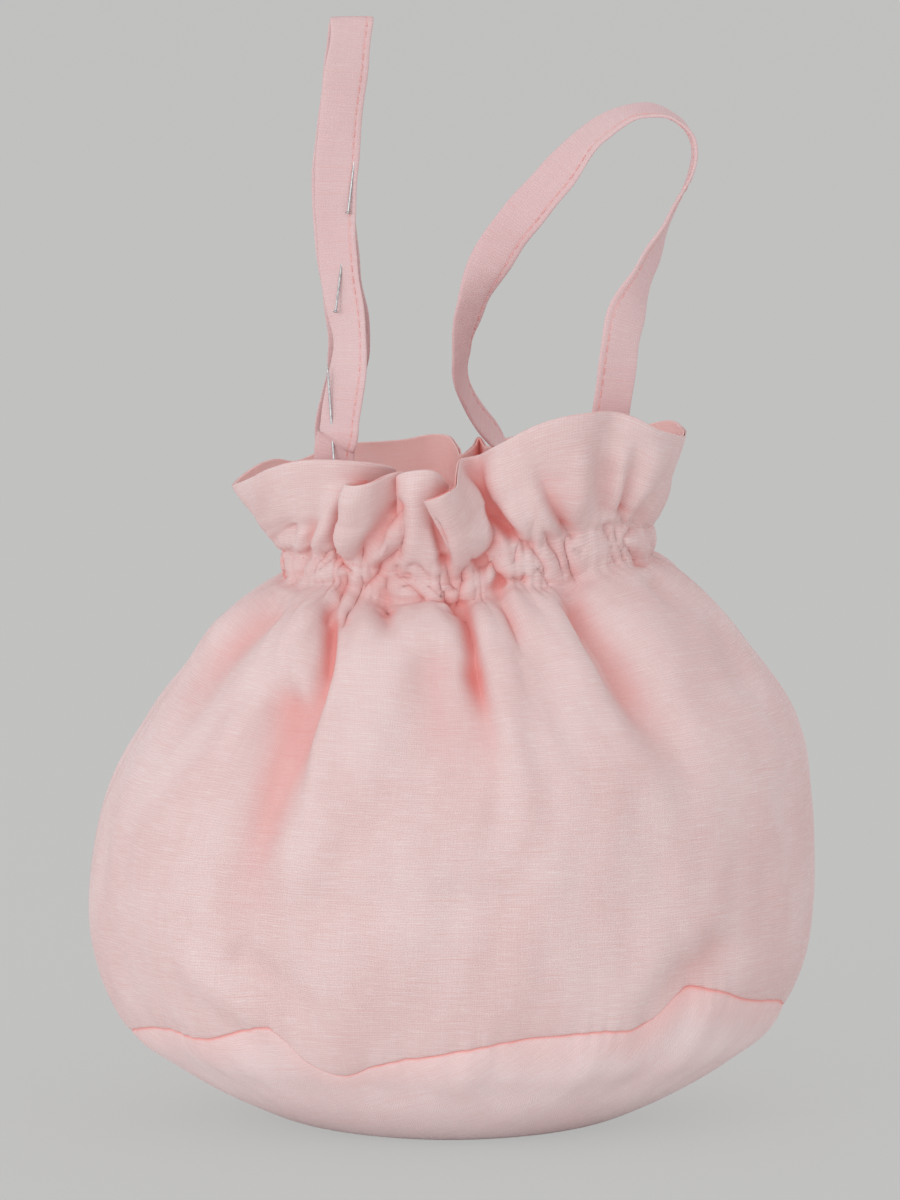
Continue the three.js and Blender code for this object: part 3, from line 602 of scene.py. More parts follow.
cloth[GATHER_FROM:] += push[..., None] * gather_normal
cloth_normal = grid_normals(cloth)

# Painted shade: where the cloth shelters itself it is tinted warmer and lit by a painted glow, in place
# of light that has passed from one pink thread to the next. Each point looks out in many directions for
# other cloth nearby.
SHELTER_REACH = 24
SHELTER_RAYS = 30
SHELTER_FROM = NECK_ROW - 62
SHELTER_FADE_ROWS = 30
SHELTER_START = 0.3


def shelter(grid, normal):
    """How far points of the cloth are sheltered by the cloth round them, 0 in the open."""
    rows, columns = grid.shape[:2]
    index = np.arange(rows * columns).reshape(rows, columns)
    ahead = np.roll(index, -1, 1)
    quads = np.stack([index[:-1], ahead[:-1], ahead[1:], index[1:]], axis=-1).reshape(-1, 4)
    tree = BVHTree.FromPolygons(grid.reshape(-1, 3).tolist(), quads.tolist())
    turns = np.arange(SHELTER_RAYS) * math.pi * (3 - math.sqrt(5))
    rise = np.sqrt(1 - (np.arange(SHELTER_RAYS) + 0.5) / SHELTER_RAYS)
    flat = np.sqrt(1 - rise ** 2)
    first = np.cross(normal, (0.31, 0.17, 0.93))
    first /= np.linalg.norm(first, axis=-1, keepdims=True)
    second = np.cross(normal, first)
    starts = (grid + SHELTER_START * normal).reshape(-1, 3).tolist()
    found = np.zeros(rows * columns)
    for turn_now, rise_now, flat_now in zip(turns, rise, flat):
        sideways = math.cos(turn_now) * first + math.sin(turn_now) * second
        ways = (rise_now * normal + flat_now * sideways).reshape(-1, 3).tolist()
        hits = [tree.ray_cast(start, way, SHELTER_REACH)[3] for start, way in zip(starts, ways)]
        found += [0 if hit is None else 1 - hit / SHELTER_REACH for hit in hits]
    return round_blur(found.reshape(rows, columns) / SHELTER_RAYS, 2)


def shelter_shade(side):
    """The shelter of one side of the cloth, used as painted shade, 1 outside or -1 inside, for every point
    of it.
    """
    rows = np.arange(SHELTER_FROM, len(cloth), 2)
    columns = np.arange(0, COLUMNS, 2)
    coarse = shelter(cloth[rows][:, columns], side * cloth_normal[rows][:, columns])
    wide = np.repeat(coarse, 2, axis=1)
    wide = (wide + np.roll(wide, 1, 1)) / 2
    everywhere = np.zeros(cloth.shape[:2])
    for column in range(COLUMNS):
        everywhere[SHELTER_FROM:, column] = np.interp(
            np.arange(SHELTER_FROM, len(cloth)), rows, wide[:, column]
        )
    all_rows = np.arange(len(cloth))[:, None]
    return everywhere * soft_step(SHELTER_FROM, SHELTER_FROM + SHELTER_FADE_ROWS, all_rows)


# Painted shade and glow: folds, creases, the frill's folds and the grooves of the seams get the warm tint
# too. The base is tinted warmer, fading out 20 mm below its seam.
FOLD_SHADE_DEPTH = 16
CREASE_SHADE_DEPTH = 22
FRILL_SHADE_DEPTH = 18
SEAM_SHADE_WIDTH = 0.55
BELOW_SEAM_TINT = 0.26
SIDE_SEAM_SHADE = 0.2
SIDE_SEAM_SHADE_WIDTH = 0.8
LINING_SHADE = 1.6
fold_shade = np.clip(-folds / FOLD_SHADE_DEPTH, 0, 0.45)
seam_shade = seam_flat * np.exp(-(groove / SEAM_SHADE_WIDTH) ** 2)
below_seam_tint = BELOW_SEAM_TINT * (1 - soft_step(2, 20, groove)) * (body_places <= seam_place)
crease_shade = (front_crease + back_crease * back_fade) / CREASE_SHADE_DEPTH
frill_shade = np.clip(-frill_push / FRILL_SHADE_DEPTH, 0, 0.25)
side_seam_shade = SIDE_SEAM_SHADE * np.exp(-(to_side / SIDE_SEAM_SHADE_WIDTH) ** 2)
cloth_hollow = shelter_shade(1)
cloth_hollow[:len(body)] += fold_shade + seam_shade + below_seam_tint
cloth_hollow[GATHER_FROM:] += crease_shade + frill_shade
cloth_hollow = np.clip(cloth_hollow * soft_step(0, 6, to_side) + side_seam_shade, 0, 1)
# Painted shade inside the pouch, from how far the lining shelters itself.
lining_hollow = np.clip(LINING_SHADE * shelter_shade(-1), 0, 1) * soft_step(0, 8, to_side)
frill_heights = ring_places[-1] + FRILL_LENGTH * frill_part[..., 0] + 0 * share
cloth_heights = np.vstack([body_places, frill_heights])
cloth_uv = np.stack(np.broadcast_arrays(share * CLOTH_ROUND, cloth_heights), axis=-1)


def cloth_shell(name, outside, inside, uv, hollow, wraps, lip=None, filled=False):
    """A thin closed shell over two grids of points. A filled one has its first row drawn to a middle."""
    rows, columns = outside.shape[:2]
    points = np.concatenate([outside.reshape(-1, 3), inside.reshape(-1, 3)])
    coords = np.concatenate([uv.reshape(-1, 2), uv.reshape(-1, 2)])
    shade = np.concatenate([hollow.reshape(-1), hollow.reshape(-1)])
    index = np.arange(rows * columns).reshape(rows, columns)
    inner = index + rows * columns

    def here(grid):
        return grid if wraps else grid[:, :-1]

    def ahead(grid):
        return np.roll(grid, -1, 1) if wraps else grid[:, 1:]

    def strip(*corners):
        return np.stack([corner.ravel() for corner in corners], axis=1)

    quads = [
        strip(here(index)[:-1], ahead(index)[:-1], ahead(index)[1:], here(index)[1:]),
        strip(here(inner)[:-1], here(inner)[1:], ahead(inner)[1:], ahead(inner)[:-1]),
    ]
    ends = []
    if filled:
        middle = len(points)
        points = np.concatenate([points, [outside[0].mean(axis=0), inside[0].mean(axis=0)]])
        coords = np.concatenate([coords, np.zeros((2, 2))])
        shade = np.concatenate([shade, np.zeros(2)])
        for now, after in zip(here(index)[0], ahead(index)[0]):
            ends.append([middle, after, now])
        for now, after in zip(here(inner)[0], ahead(inner)[0]):
            ends.append([middle + 1, now, after])
    else:
        quads.append(strip(here(inner)[:1], ahead(inner)[:1], ahead(index)[:1], here(index)[:1]))
    if lip is None:
        quads.append(strip(here(index)[-1:], ahead(index)[-1:], ahead(inner)[-1:], here(inner)[-1:]))
    else:
        rim = np.arange(columns)[None] + len(points)
        points = np.concatenate([points, lip])
        coords = np.concatenate([coords, uv[-1]])
        shade = np.concatenate([shade, hollow[-1]])
        quads.append(strip(here(index)[-1:], ahead(index)[-1:], ahead(rim), here(rim)))
        quads.append(strip(here(rim), ahead(rim), ahead(inner)[-1:], here(inner)[-1:]))
    if not wraps:
        quads.append(strip(inner[:-1, :1], index[:-1, :1], index[1:, :1], inner[1:, :1]))
        quads.append(strip(index[:-1, -1:], inner[:-1, -1:], inner[1:, -1:], index[1:, -1:]))
        if lip is not None:
            ends.append([inner[-1, 0], index[-1, 0], rim[0, 0]])
            ends.append([index[-1, -1], inner[-1, -1], rim[0, -1]])
    faces = np.concatenate(quads).tolist() + [[int(k) for k in end] for end in ends]
    return cloth_mesh(name, points, faces, coords, shade)


def add_object(name, data):
    """A new object in the scene, with the given mesh, lamp or camera."""
    made = bpy.data.objects.new(name, data)
    bpy.context.scene.collection.objects.link(made)
    return made


def cloth_mesh(name, points, faces, coords, shade):
    """A smooth piece of cloth with its flat coordinates and its painted shade."""
    mesh = bpy.data.meshes.new(name)
    mesh.from_pydata((np.asarray(points) * MM).tolist(), [], faces)
    layer = mesh.uv_layers.new(name="cloth")
    corner = np.zeros(len(mesh.loops), dtype=np.int32)
    mesh.loops.foreach_get("vertex_index", corner)
    layer.data.foreach_set("uv", (np.asarray(coords)[corner] * MM).astype(np.float32).ravel())
    painted_shade = mesh.attributes.new("painted_shade", "FLOAT", "POINT")
    painted_shade.data.foreach_set("value", np.asarray(shade, dtype=np.float32))
    mesh.polygons.foreach_set("use_smooth", np.ones(len(mesh.polygons), dtype=bool))
    mesh.update()
    return add_object(name, mesh)


# The linen: uneven pale and pink threads, thick places along the weft, and clouds where two thin
# layers lie over each other. It reads the cloth's own coordinates in metres.
def new_socket(tree, name, way, kind):
    return tree.interface.new_socket(name=name, in_out=way, socket_type=kind)


def math_node(tree, operation, first, second=None, third=None):
    """One sum on sockets or plain numbers."""
    node = tree.nodes.new("ShaderNodeMath")
    node.operation = operation
    for socket, value in zip(node.inputs, (first, second, third)):
        if value is None:
            continue
        if isinstance(value, (int, float)):
            socket.default_value = value
        else:
            tree.links.new(value, socket)
    return node.outputs[0]


def stretched_noise(tree, vector, scale, detail, offset):
    """Flat noise with its own scale along each of the two ways."""
    place = tree.nodes.new("ShaderNodeMapping")
    place.inputs["Location"].default_value = (offset, offset * 0.7, 0)
    place.inputs["Scale"].default_value = (scale[0], scale[1], 1)
    tree.links.new(vector, place.inputs["Vector"])
    noise = tree.nodes.new("ShaderNodeTexNoise")
    noise.noise_dimensions = "2D"
    noise.inputs["Scale"].default_value = 1
    noise.inputs["Detail"].default_value = detail
    tree.links.new(place.outputs["Vector"], noise.inputs["Vector"])
    return noise.outputs["Fac"]


def remap(tree, value, low, high, to_low=0.0, to_high=1.0):
    """A smooth rise of a socket's value from one range to another."""
    node = tree.nodes.new("ShaderNodeMapRange")
    node.interpolation_type = "SMOOTHSTEP"
    node.inputs["From Min"].default_value = low
    node.inputs["From Max"].default_value = high
    node.inputs["To Min"].default_value = to_low
    node.inputs["To Max"].default_value = to_high
    tree.links.new(value, node.inputs["Value"])
    return node.outputs["Result"]


weave = bpy.data.node_groups.new("linen_weave", "ShaderNodeTree")
new_socket(weave, "Cloth", "INPUT", "NodeSocketVector")
new_socket(weave, "Thread Pitch", "INPUT", "NodeSocketFloat")
for output in ("Pale Thread", "Warm Thread", "Cloud", "Height"):
    new_socket(weave, output, "OUTPUT", "NodeSocketFloat")
weave_in = weave.nodes.new("NodeGroupInput")
weave_out = weave.nodes.new("NodeGroupOutput")
cloth_way = weave_in.outputs["Cloth"]
split = weave.nodes.new("ShaderNodeSeparateXYZ")
weave.links.new(cloth_way, split.inputs["Vector"])
drift = math_node(weave, "MULTIPLY", stretched_noise(weave, cloth_way, (90, 90), 2, 3.1), 0.0022)
threads = math_node(weave, "DIVIDE", 2 * math.pi, weave_in.outputs["Thread Pitch"])
weft_turn = math_node(weave, "MULTIPLY", math_node(weave, "ADD", split.outputs["Y"], drift), threads)
warp_turn = math_node(weave, "MULTIPLY", math_node(weave, "ADD", split.outputs["X"], drift), threads)
weft = math_node(weave, "SINE", weft_turn)
warp = math_node(weave, "SINE", warp_turn)
slub = remap(weave, stretched_noise(weave, cloth_way, (150, 2300), 3, 1.7), 0.4, 0.76)
long_slub = remap(weave, stretched_noise(weave, cloth_way, (42, 1500), 2, 8.3), 0.5, 0.8)
warp_slub = remap(weave, stretched_noise(weave, cloth_way, (2400, 70), 2, 5.9), 0.45, 0.8)
grain = stretched_noise(weave, cloth_way, (1700, 1700), 2, 2.2)
pale = math_node(weave, "MULTIPLY_ADD", slub, 0.45, math_node(weave, "MULTIPLY", long_slub, 0.25))
pale = math_node(weave, "MULTIPLY_ADD", warp_slub, 0.22, pale)
pale = math_node(weave, "MULTIPLY_ADD", weft, 0.2, pale)
pale = math_node(weave, "MULTIPLY_ADD", warp, 0.1, pale)
pale = math_node(weave, "MULTIPLY_ADD", grain, 0.5, pale)
warm_thread = remap(weave, stretched_noise(weave, cloth_way, (36, 1300), 2, 4.6), 0.62, 0.8)
weave.links.new(warm_thread, weave_out.inputs["Warm Thread"])
weave.links.new(pale, weave_out.inputs["Pale Thread"])
cloud = stretched_noise(weave, cloth_way, (45, 30), 4, 6.4)
weave.links.new(cloud, weave_out.inputs["Cloud"])
height = math_node(weave, "MULTIPLY_ADD", math_node(weave, "MULTIPLY", weft, warp), 0.3, 0.4)
height = math_node(weave, "MULTIPLY_ADD", slub, 0.5, height)
height = math_node(weave, "MULTIPLY_ADD", grain, 0.35, height)
weave.links.new(height, weave_out.inputs["Height"])


def mix_colour(tree, share_socket, first, second):
    """A colour between two colours or colour sockets."""
    node = tree.nodes.new("ShaderNodeMix")
    node.data_type = "RGBA"
    tree.links.new(share_socket, node.inputs["Factor"])
    for key, value in (("A", first), ("B", second)):
        socket = next(s for s in node.inputs if s.name == key and s.type == "RGBA")
        if isinstance(value, tuple):
            socket.default_value = value
        else:
            tree.links.new(value, socket)
    return next(s for s in node.outputs if s.type == "RGBA")


def srgb(red, green, blue):
    """A colour given as it looks on a screen, 0 to 255, for a linear colour socket."""
    def linear(value):
        value = value / 255
        return value / 12.92 if value <= 0.04045 else ((value + 0.055) / 1.055) ** 2.4
    return (linear(red), linear(green), linear(blue), 1)


def new_finish(name):
    """A new material, its nodes and its main shader."""
    finish = bpy.data.materials.new(name)
    finish.use_nodes = True
    return finish, finish.node_tree, finish.node_tree.nodes["Principled BSDF"]


THREAD_PITCH = 0.00076


def linen_finish(name, pink, pale, crease, turned=0.0, painted_inner_glow=None):
    """Linen in two tones, turned warmer by painted shade in its creases, with a painted glow there in
    place of light that comes through thin cloth. An inner glow, given for cloth inside the pouch, is
    painted evenly instead."""
    finish, tree, shader = new_finish(name)
    uv = tree.nodes.new("ShaderNodeUVMap")
    uv.uv_map = "cloth"
    spin = tree.nodes.new("ShaderNodeMapping")
    spin.inputs["Rotation"].default_value = (0, 0, math.radians(turned))
    tree.links.new(uv.outputs["UV"], spin.inputs["Vector"])
    group = tree.nodes.new("ShaderNodeGroup")
    group.node_tree = weave
    group.inputs["Thread Pitch"].default_value = THREAD_PITCH
    tree.links.new(spin.outputs["Vector"], group.inputs["Cloth"])
    cloud_tone = remap(tree, group.outputs["Cloud"], 0.3, 0.7, 0.04, 0.24)
    tone = math_node(tree, "MULTIPLY_ADD", group.outputs["Pale Thread"], 0.46, cloud_tone)
    open_cloth = mix_colour(tree, tone, pink, pale)
    painted_shade = tree.nodes.new("ShaderNodeAttribute")
    painted_shade.attribute_name = "painted_shade"
    # Painted shade: the attribute turns the cloth towards the crease colour, and the random warm threads
    # add to it.
    shade_and_warm_threads = remap(tree, painted_shade.outputs["Fac"], 0.0, 0.9, 0.0, 0.8)
    shade_and_warm_threads = math_node(tree, "MULTIPLY_ADD", group.outputs["Warm Thread"], 0.16, shade_and_warm_threads)
    colour = mix_colour(tree, shade_and_warm_threads, open_cloth, crease)
    tree.links.new(colour, shader.inputs["Base Color"])
    # Painted glow: an emission in the creases, or an even one inside the pouch, stands in for light
    # through the cloth.
    if painted_inner_glow is None:
        sunk = remap(tree, painted_shade.outputs["Fac"], 0.12, 0.9)
        painted_glow = mix_colour(tree, sunk, srgb(0, 0, 0), crease)
        tree.links.new(painted_glow, shader.inputs["Emission Color"])
        shader.inputs["Emission Strength"].default_value = 0.13
    else:
        shader.inputs["Emission Color"].default_value = painted_inner_glow
        shader.inputs["Emission Strength"].default_value = 0.06
    rough = remap(tree, group.outputs["Height"], 0.2, 1.0, 0.92, 0.78)
    tree.links.new(rough, shader.inputs["Roughness"])
    bump = tree.nodes.new("ShaderNodeBump")
    bump.inputs["Strength"].default_value = 0.5
    bump.inputs["Distance"].default_value = 0.00018
    tree.links.new(group.outputs["Height"], bump.inputs["Height"])
    tree.links.new(bump.outputs["Normal"], shader.inputs["Normal"])
    shader.inputs["Specular IOR Level"].default_value = 0.2
    shader.inputs["Sheen Weight"].default_value = 0.12
    shader.inputs["Sheen Roughness"].default_value = 0.5
    return finish


# The crease colour is the colour of the painted shade and glow.
wall_linen = linen_finish(
    "wall_linen", pink=srgb(220, 184, 183), pale=srgb(240, 226, 225), crease=srgb(220, 136, 130)
)

# The wall lies outside the middle of the cloth and the lining inside it, and they part in the channel
# to leave room for the elastic. The lip is the round of the folded edge.
FAR_FACE = 0.55
NEAR_FACE = 0.15
LIP_RISE = 0.25
CHANNEL_ROOM = 0.35
channel_room = np.zeros((len(cloth), 1, 1))
swelling = CHANNEL_ROOM * np.sin(np.linspace(0, math.pi, CHANNEL_ROWS))
channel_room[NECK_ROW:NECK_ROW + CHANNEL_ROWS, 0, 0] = swelling
outer_out = cloth + (FAR_FACE + channel_room) * cloth_normal
outer_in = cloth + (NEAR_FACE + channel_room) * cloth_normal
edge_way = cloth[-1] - cloth[-2]
edge_way = edge_way / np.linalg.norm(edge_way, axis=-1, keepdims=True)
lip_out = (FAR_FACE + NEAR_FACE) / 2 * cloth_normal[-1]
outer_lip = cloth[-1] + lip_out + LIP_RISE * edge_way
half_turn = COLUMNS // 2
panel_columns = {
    "front": np.arange(0, half_turn + 1),
    "back": np.append(np.arange(half_turn, COLUMNS), 0),
}


def wall_panel(name, side, outside, inside, lip, warm):
    """The front or back half of the cloth above the base seam."""
    columns = panel_columns[side]
    outside, inside, uv, hollow = (
        grid[SEAM_ROW:][:, columns] for grid in (outside, inside, cloth_uv, warm)
    )
    uv[:, -1, 0] = uv[:, -2, 0] + CLOTH_ROUND / COLUMNS
    return cloth_shell(name, outside, inside, uv, hollow, False, lip[columns])


for side in ("front", "back"):
    wall = wall_panel(f"linen_{side}", side, outer_out, outer_in, outer_lip, cloth_hollow)
    wall.data.materials.append(wall_linen)
    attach(wall, "pouch")
    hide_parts(f"outer_{side}")

# Round base. One disc of the same linen, cut at another angle to the weave and set into the walls
# with a plain seam. It is soft, so the pouch stands on a small flat foot in its middle.
BASE_FAR_FACE = 0.5
BASE_NEAR_FACE = 0.1
FOOT_ROWS = 7
foot_parts = np.linspace(0, 1, FOOT_ROWS)[1:-1, None, None]
foot_edge = cloth[0]
foot_middle = np.array([0, 0, FLOOR_ROOM])
foot = foot_middle + (foot_edge - foot_middle) * foot_parts
base = np.vstack([foot, cloth[:SEAM_ROW + 1]])
base_normal = grid_normals(base)
base_hollow = np.vstack([np.zeros((len(foot), COLUMNS)), cloth_hollow[:SEAM_ROW + 1]])
base_lengths = np.linalg.norm(np.diff(base, axis=0), axis=-1)
base_radius = np.vstack([np.zeros((1, COLUMNS)), np.cumsum(base_lengths, axis=0)])
base_radius = base_radius + np.linalg.norm(base[0] - foot_middle, axis=-1)
base_uv = np.stack([base_radius * np.cos(belly_turn), base_radius * np.sin(belly_turn)], axis=-1)
# Its pinks are paler than the wall's, painted light that brightens the underside, which faces away from
# the lamps.
base_linen = linen_finish(
    "base_linen", pink=srgb(233, 204, 204), pale=srgb(246, 235, 235), crease=srgb(226, 150, 144),
    turned=32,
)
base_out = base + BASE_FAR_FACE * base_normal
base_in = base + BASE_NEAR_FACE * base_normal
base_piece = cloth_shell("base_linen", base_out, base_in, base_uv, base_hollow, True, filled=True)
base_piece.data.materials.append(base_linen)
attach(base_piece, "pouch")
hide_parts("outer_base")

# Lining. The same thin linen again, a second pouch inside the first. It is turned over with the wall
# at the edge of the frill and follows every fold of it.
# Its pinks are paler than the wall's, with an even painted glow: painted light for the inside of the
# pouch, which the lamps reach less.
lining_linen = linen_finish(
    "lining_linen", pink=srgb(232, 188, 185), pale=srgb(241, 215, 212), crease=srgb(232, 142, 134),
    painted_inner_glow=srgb(232, 150, 142),
)
lining_out = cloth - (NEAR_FACE + channel_room) * cloth_normal
lining_in = cloth - (FAR_FACE + channel_room) * cloth_normal
lining_lip = cloth[-1] - lip_out + LIP_RISE * edge_way
for side in ("front", "back"):
    lining = wall_panel(f"lining_linen_{side}", side, lining_out, lining_in, lining_lip, lining_hollow)
    lining.data.materials.append(lining_linen)
    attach(lining, "pouch")
    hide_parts(f"lining_{side}")
base_lining_out = base - BASE_NEAR_FACE * base_normal
base_lining_in = base - BASE_FAR_FACE * base_normal
lining = cloth_shell(
    "lining_linen_base", base_lining_out, base_lining_in, base_uv, base_hollow, True, filled=True
)
lining.data.materials.append(lining_linen)
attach(lining, "pouch")
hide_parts("lining_base")

# Elastic. A flat woven band inside the stitched channel, drawn in so that it puckers with the cloth.
# It is held between the wall and the lining and isn't seen from outside.
ELASTIC_HALF = 0.14
elastic_rows = slice(NECK_ROW + 2, NECK_ROW + CHANNEL_ROWS - 2)
elastic_out = cloth[elastic_rows] + ELASTIC_HALF * cloth_normal[elastic_rows]
elastic_in = cloth[elastic_rows] - ELASTIC_HALF * cloth_normal[elastic_rows]
elastic_band = cloth_shell(
    "elastic_band", elastic_out, elastic_in, cloth_uv[elastic_rows], cloth_hollow[elastic_rows], True
)
elastic_finish, tree, shader = new_finish("woven_elastic")
uv = tree.nodes.new("ShaderNodeUVMap")
uv.uv_map = "cloth"
rib = tree.nodes.new("ShaderNodeTexWave")
rib.inputs["Scale"].default_value = 260
rib.inputs["Distortion"].default_value = 1.5
tree.links.new(uv.outputs["UV"], rib.inputs["Vector"])
rib_tone = remap(tree, rib.outputs["Fac"], 0.1, 0.9)
rib_colour = mix_colour(tree, rib_tone, srgb(222, 217, 210), srgb(243, 240, 235))
tree.links.new(rib_colour, shader.inputs["Base Color"])
shader.inputs["Roughness"].default_value = 0.85
elastic_band.data.materials.append(elastic_finish)
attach(elastic_band, "pouch")
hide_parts("casing_elastic")

# Handles. Each is one strip of linen folded lengthwise, turned in and stitched along one edge, and
# sewn inside the mouth at both ends. The left one is pressed into a narrow loop, the right one twists.
STITCH_INSET = 1.95
EDGE_WAVER = 0.16
THICKNESS_WAVER = 0.1
CUP_WAVER = 0.3
STITCH_GROOVE_SHADE = 0.35
STITCH_RISE = 0.06
PATH_SAMPLES = 5000

# The section of a strap from its folded to its stitched edge: place across, half thickness.
strap_section = np.array([
    [-6.35, 0], [-6.25, 0.3], [-6, 0.48], [-5.5, 0.58], [-4, 0.62], [-2, 0.6], [0, 0.6], [2, 0.6],
    [3.6, 0.6], [4.1, 0.54], [4.4, 0.44], [4.7, 0.5], [5.2, 0.56], [5.8, 0.5], [6.2, 0.32], [6.35, 0],
])
STRAP_HALF = strap_section[-1, 0]
STITCH_LINE = STRAP_HALF - STITCH_INSET

# Places along each strap, from its sewn front end over the loop to its sewn back end: the middle of
# the strap, and the way its outer face looks.
left_stations = [
    (-34, -23.2, 163.1, -0.56, -0.83, 0), (-33.8, -22.9, 168.5, -0.56, -0.83, 0),
    (-34.5, -23.7, 176.5, -0.56, -0.83, 0), (-34.5, -23.7, 208.5, -0.4, -0.9, 0),
    (-33.6, -25.2, 211.9, -0.36, -0.9, 0), (-32.6, -21.8, 218.3, -0.4, -0.9, 0),
    (-29.9, -15.9, 237.8, -0.6, -0.8, 0), (-32.9, -10, 259.3, -0.4, -0.9, 0),
    (-34.1, -7.1, 281.8, -0.1, -1, 0), (-32.4, -6.1, 306.2, 0.1, -1, 0),
    (-29.5, -6.1, 330.6, 0.2, -1, 0), (-29.3, -3.7, 334.9, 0, 0, 1),
    (-30.1, -1.3, 330.6, -0.2, 1, 0), (-33.1, -3.8, 306.2, -0.1, 1, 0),
    (-34.9, -4.8, 281.8, 0.1, 1, 0), (-33.1, -6.1, 259.3, 0.2, 1, 0),
    (-30.2, -0.3, 237.8, 0, 1, 0.5), (-32.5, 14.9, 218.3, -0.2, 0.9, 0.5),
    (-34.5, 22.7, 208.5, -0.4, 0.9, 0), (-34.5, 23.7, 176.5, -0.56, 0.83, 0),
    (-33.8, 23.2, 168.3, -0.56, 0.83, 0), (-34, 23.5, 163.5, -0.56, 0.83, 0),
]
right_stations = [
    (42, -23.2, 168.8, 0.56, -0.83, 0), (41.6, -22.9, 174.3, 0.56, -0.83, 0),
    (42.4, -23.8, 182.2, 0.56, -0.83, 0), (46.3, -26.7, 208.5, 0.4, -0.9, 0),
    (49.2, -24.7, 227.9, 0.4, -0.9, 0), (52.1, -21.8, 245.4, 0.5, -0.9, 0),
    (58.9, -17, 261.9, 0.9, -0.5, -0.2), (65.3, -13.1, 275.5, 1, -0.1, -0.3),
    (71.8, -9.2, 289, 1, 0.1, 0), (72.3, -7.3, 297.8, 1, 0.1, 0.3),
    (67, -5.3, 304.6, 0.6, 0, 0.8), (57, -4.4, 307, 0, -0.2, 1),
    (43.9, -4.4, 300.7, -0.4, -0.4, 0.8), (30.8, -5.3, 286.1, -0.3, -0.8, 0.4),
    (15.2, -5.3, 266.7, 0, -1, 0.1), (6.4, -2.4, 247.3, 0.7, -0.73, 0),
    (3.6, 2.4, 231.8, 0.92, -0.45, 0), (4.9, 10.7, 218.2, 0.96, -0.12, 0.05),
    (11.6, 17.5, 206.6, 0.88, -0.18, 0.2), (25.9, 22.3, 195, 0.7, 0.6, 0.6),
    (42.4, 23.8, 182.2, 0.56, 0.83, 0), (41.5, 23, 174.3, 0.56, 0.83, 0),
    (41.8, 23.3, 168.9, 0.56, 0.83, 0),
]


def strap_frames(stations, step=1.0):
    """Middles, sides and faces of a strap at even steps along its stations."""
    table = np.array(stations, float)
    middle, face = table[:, :3], table[:, 3:]
    face = face / np.linalg.norm(face, axis=1, keepdims=True)
    knots = chord_knots(middle, ROUND_BEND)
    dense = np.linspace(0, knots[-1], PATH_SAMPLES)
    path = through(knots, middle, dense)
    length = chord_knots(path)
    count = int(length[-1] / step)
    places = np.interp(np.linspace(0, length[-1], count), length, dense)
    at = through(knots, middle, places)
    ahead = np.gradient(at, axis=0)
    ahead /= np.linalg.norm(ahead, axis=1, keepdims=True)
    low = np.clip(np.searchsorted(knots, places, side="right") - 1, 0, len(knots) - 2)
    part = soft_step(0, 1, (places - knots[low]) / (knots[low + 1] - knots[low]))[:, None]
    looks = face[low] * (1 - part) + face[low + 1] * part
    looks -= ahead * (looks * ahead).sum(axis=1, keepdims=True)
    looks /= np.linalg.norm(looks, axis=1, keepdims=True)
    return at, np.cross(ahead, looks), looks, np.linspace(0, length[-1], count)


def strap_wave(seed, along, longest, count):
    """A seeded wave along a strap, of count waves from the longest down."""
    pick = np.random.RandomState(seed)
    wave = np.zeros(len(along))
    for k in range(1, count + 1):
        wave += np.cos(2 * math.pi * k * along / longest + pick.uniform(0, 6.28)) / math.sqrt(k)
    return wave


def strap_piece(name, stations, stitched, seed):
    """A strap as one closed skin. stitched is 1 or -1 for the side that carries the stitches."""
    at, side, looks, along = strap_frames(stations)
    across = strap_section[:, 0] * stitched
    half = strap_section[:, 1]
    across = np.concatenate([across, across[-2:0:-1]])
    out = np.concatenate([half, -half[-2:0:-1]])
    near_edge = np.sign(across) * (np.abs(across) > STRAP_HALF / 2)
    edge = EDGE_WAVER * strap_wave(seed, along, 90, 6)[:, None] * near_edge
    swell = 1 + THICKNESS_WAVER * strap_wave(seed + 1, along, 60, 5)[:, None]
    cup = CUP_WAVER * strap_wave(seed + 2, along, 140, 4)[:, None] * (across / STRAP_HALF) ** 2
    grid = (
        at[:, None]
        + side[:, None] * (across + edge)[..., None]
        + looks[:, None] * (out * swell + cup)[..., None]
    )
    rows, columns = grid.shape[:2]
    index = np.arange(rows * columns).reshape(rows, columns)
    ahead = np.roll(index, -1, 1)
    quads = np.stack([index[:-1], ahead[:-1], ahead[1:], index[1:]], axis=-1).reshape(-1, 4)
    ends = [index[0, ::stitched].tolist(), index[-1, ::-stitched].tolist()]
    faces = quads[:, ::-stitched].tolist() + ends
    uv = np.stack(np.broadcast_arrays(across, along[:, None]), axis=-1).reshape(-1, 2)
    # Painted shade along the groove of the line of stitches.
    groove = STITCH_GROOVE_SHADE * np.exp(-((across * stitched - STITCH_LINE) / 0.5) ** 2)
    shade = np.broadcast_to(groove, (rows, columns)).reshape(-1)
    piece = cloth_mesh(name, grid.reshape(-1, 3), faces, uv, shade)
    seat = STITCH_RISE + np.interp(STITCH_LINE, *strap_section.T)
    bent = cup[:, :1] * (STITCH_LINE / STRAP_HALF) ** 2
    under_stitches = at + side * STITCH_LINE * stitched
    rows_of_stitches = [under_stitches + looks * (sign * seat + bent) for sign in (1, -1)]
    return piece, rows_of_stitches, along[-1]


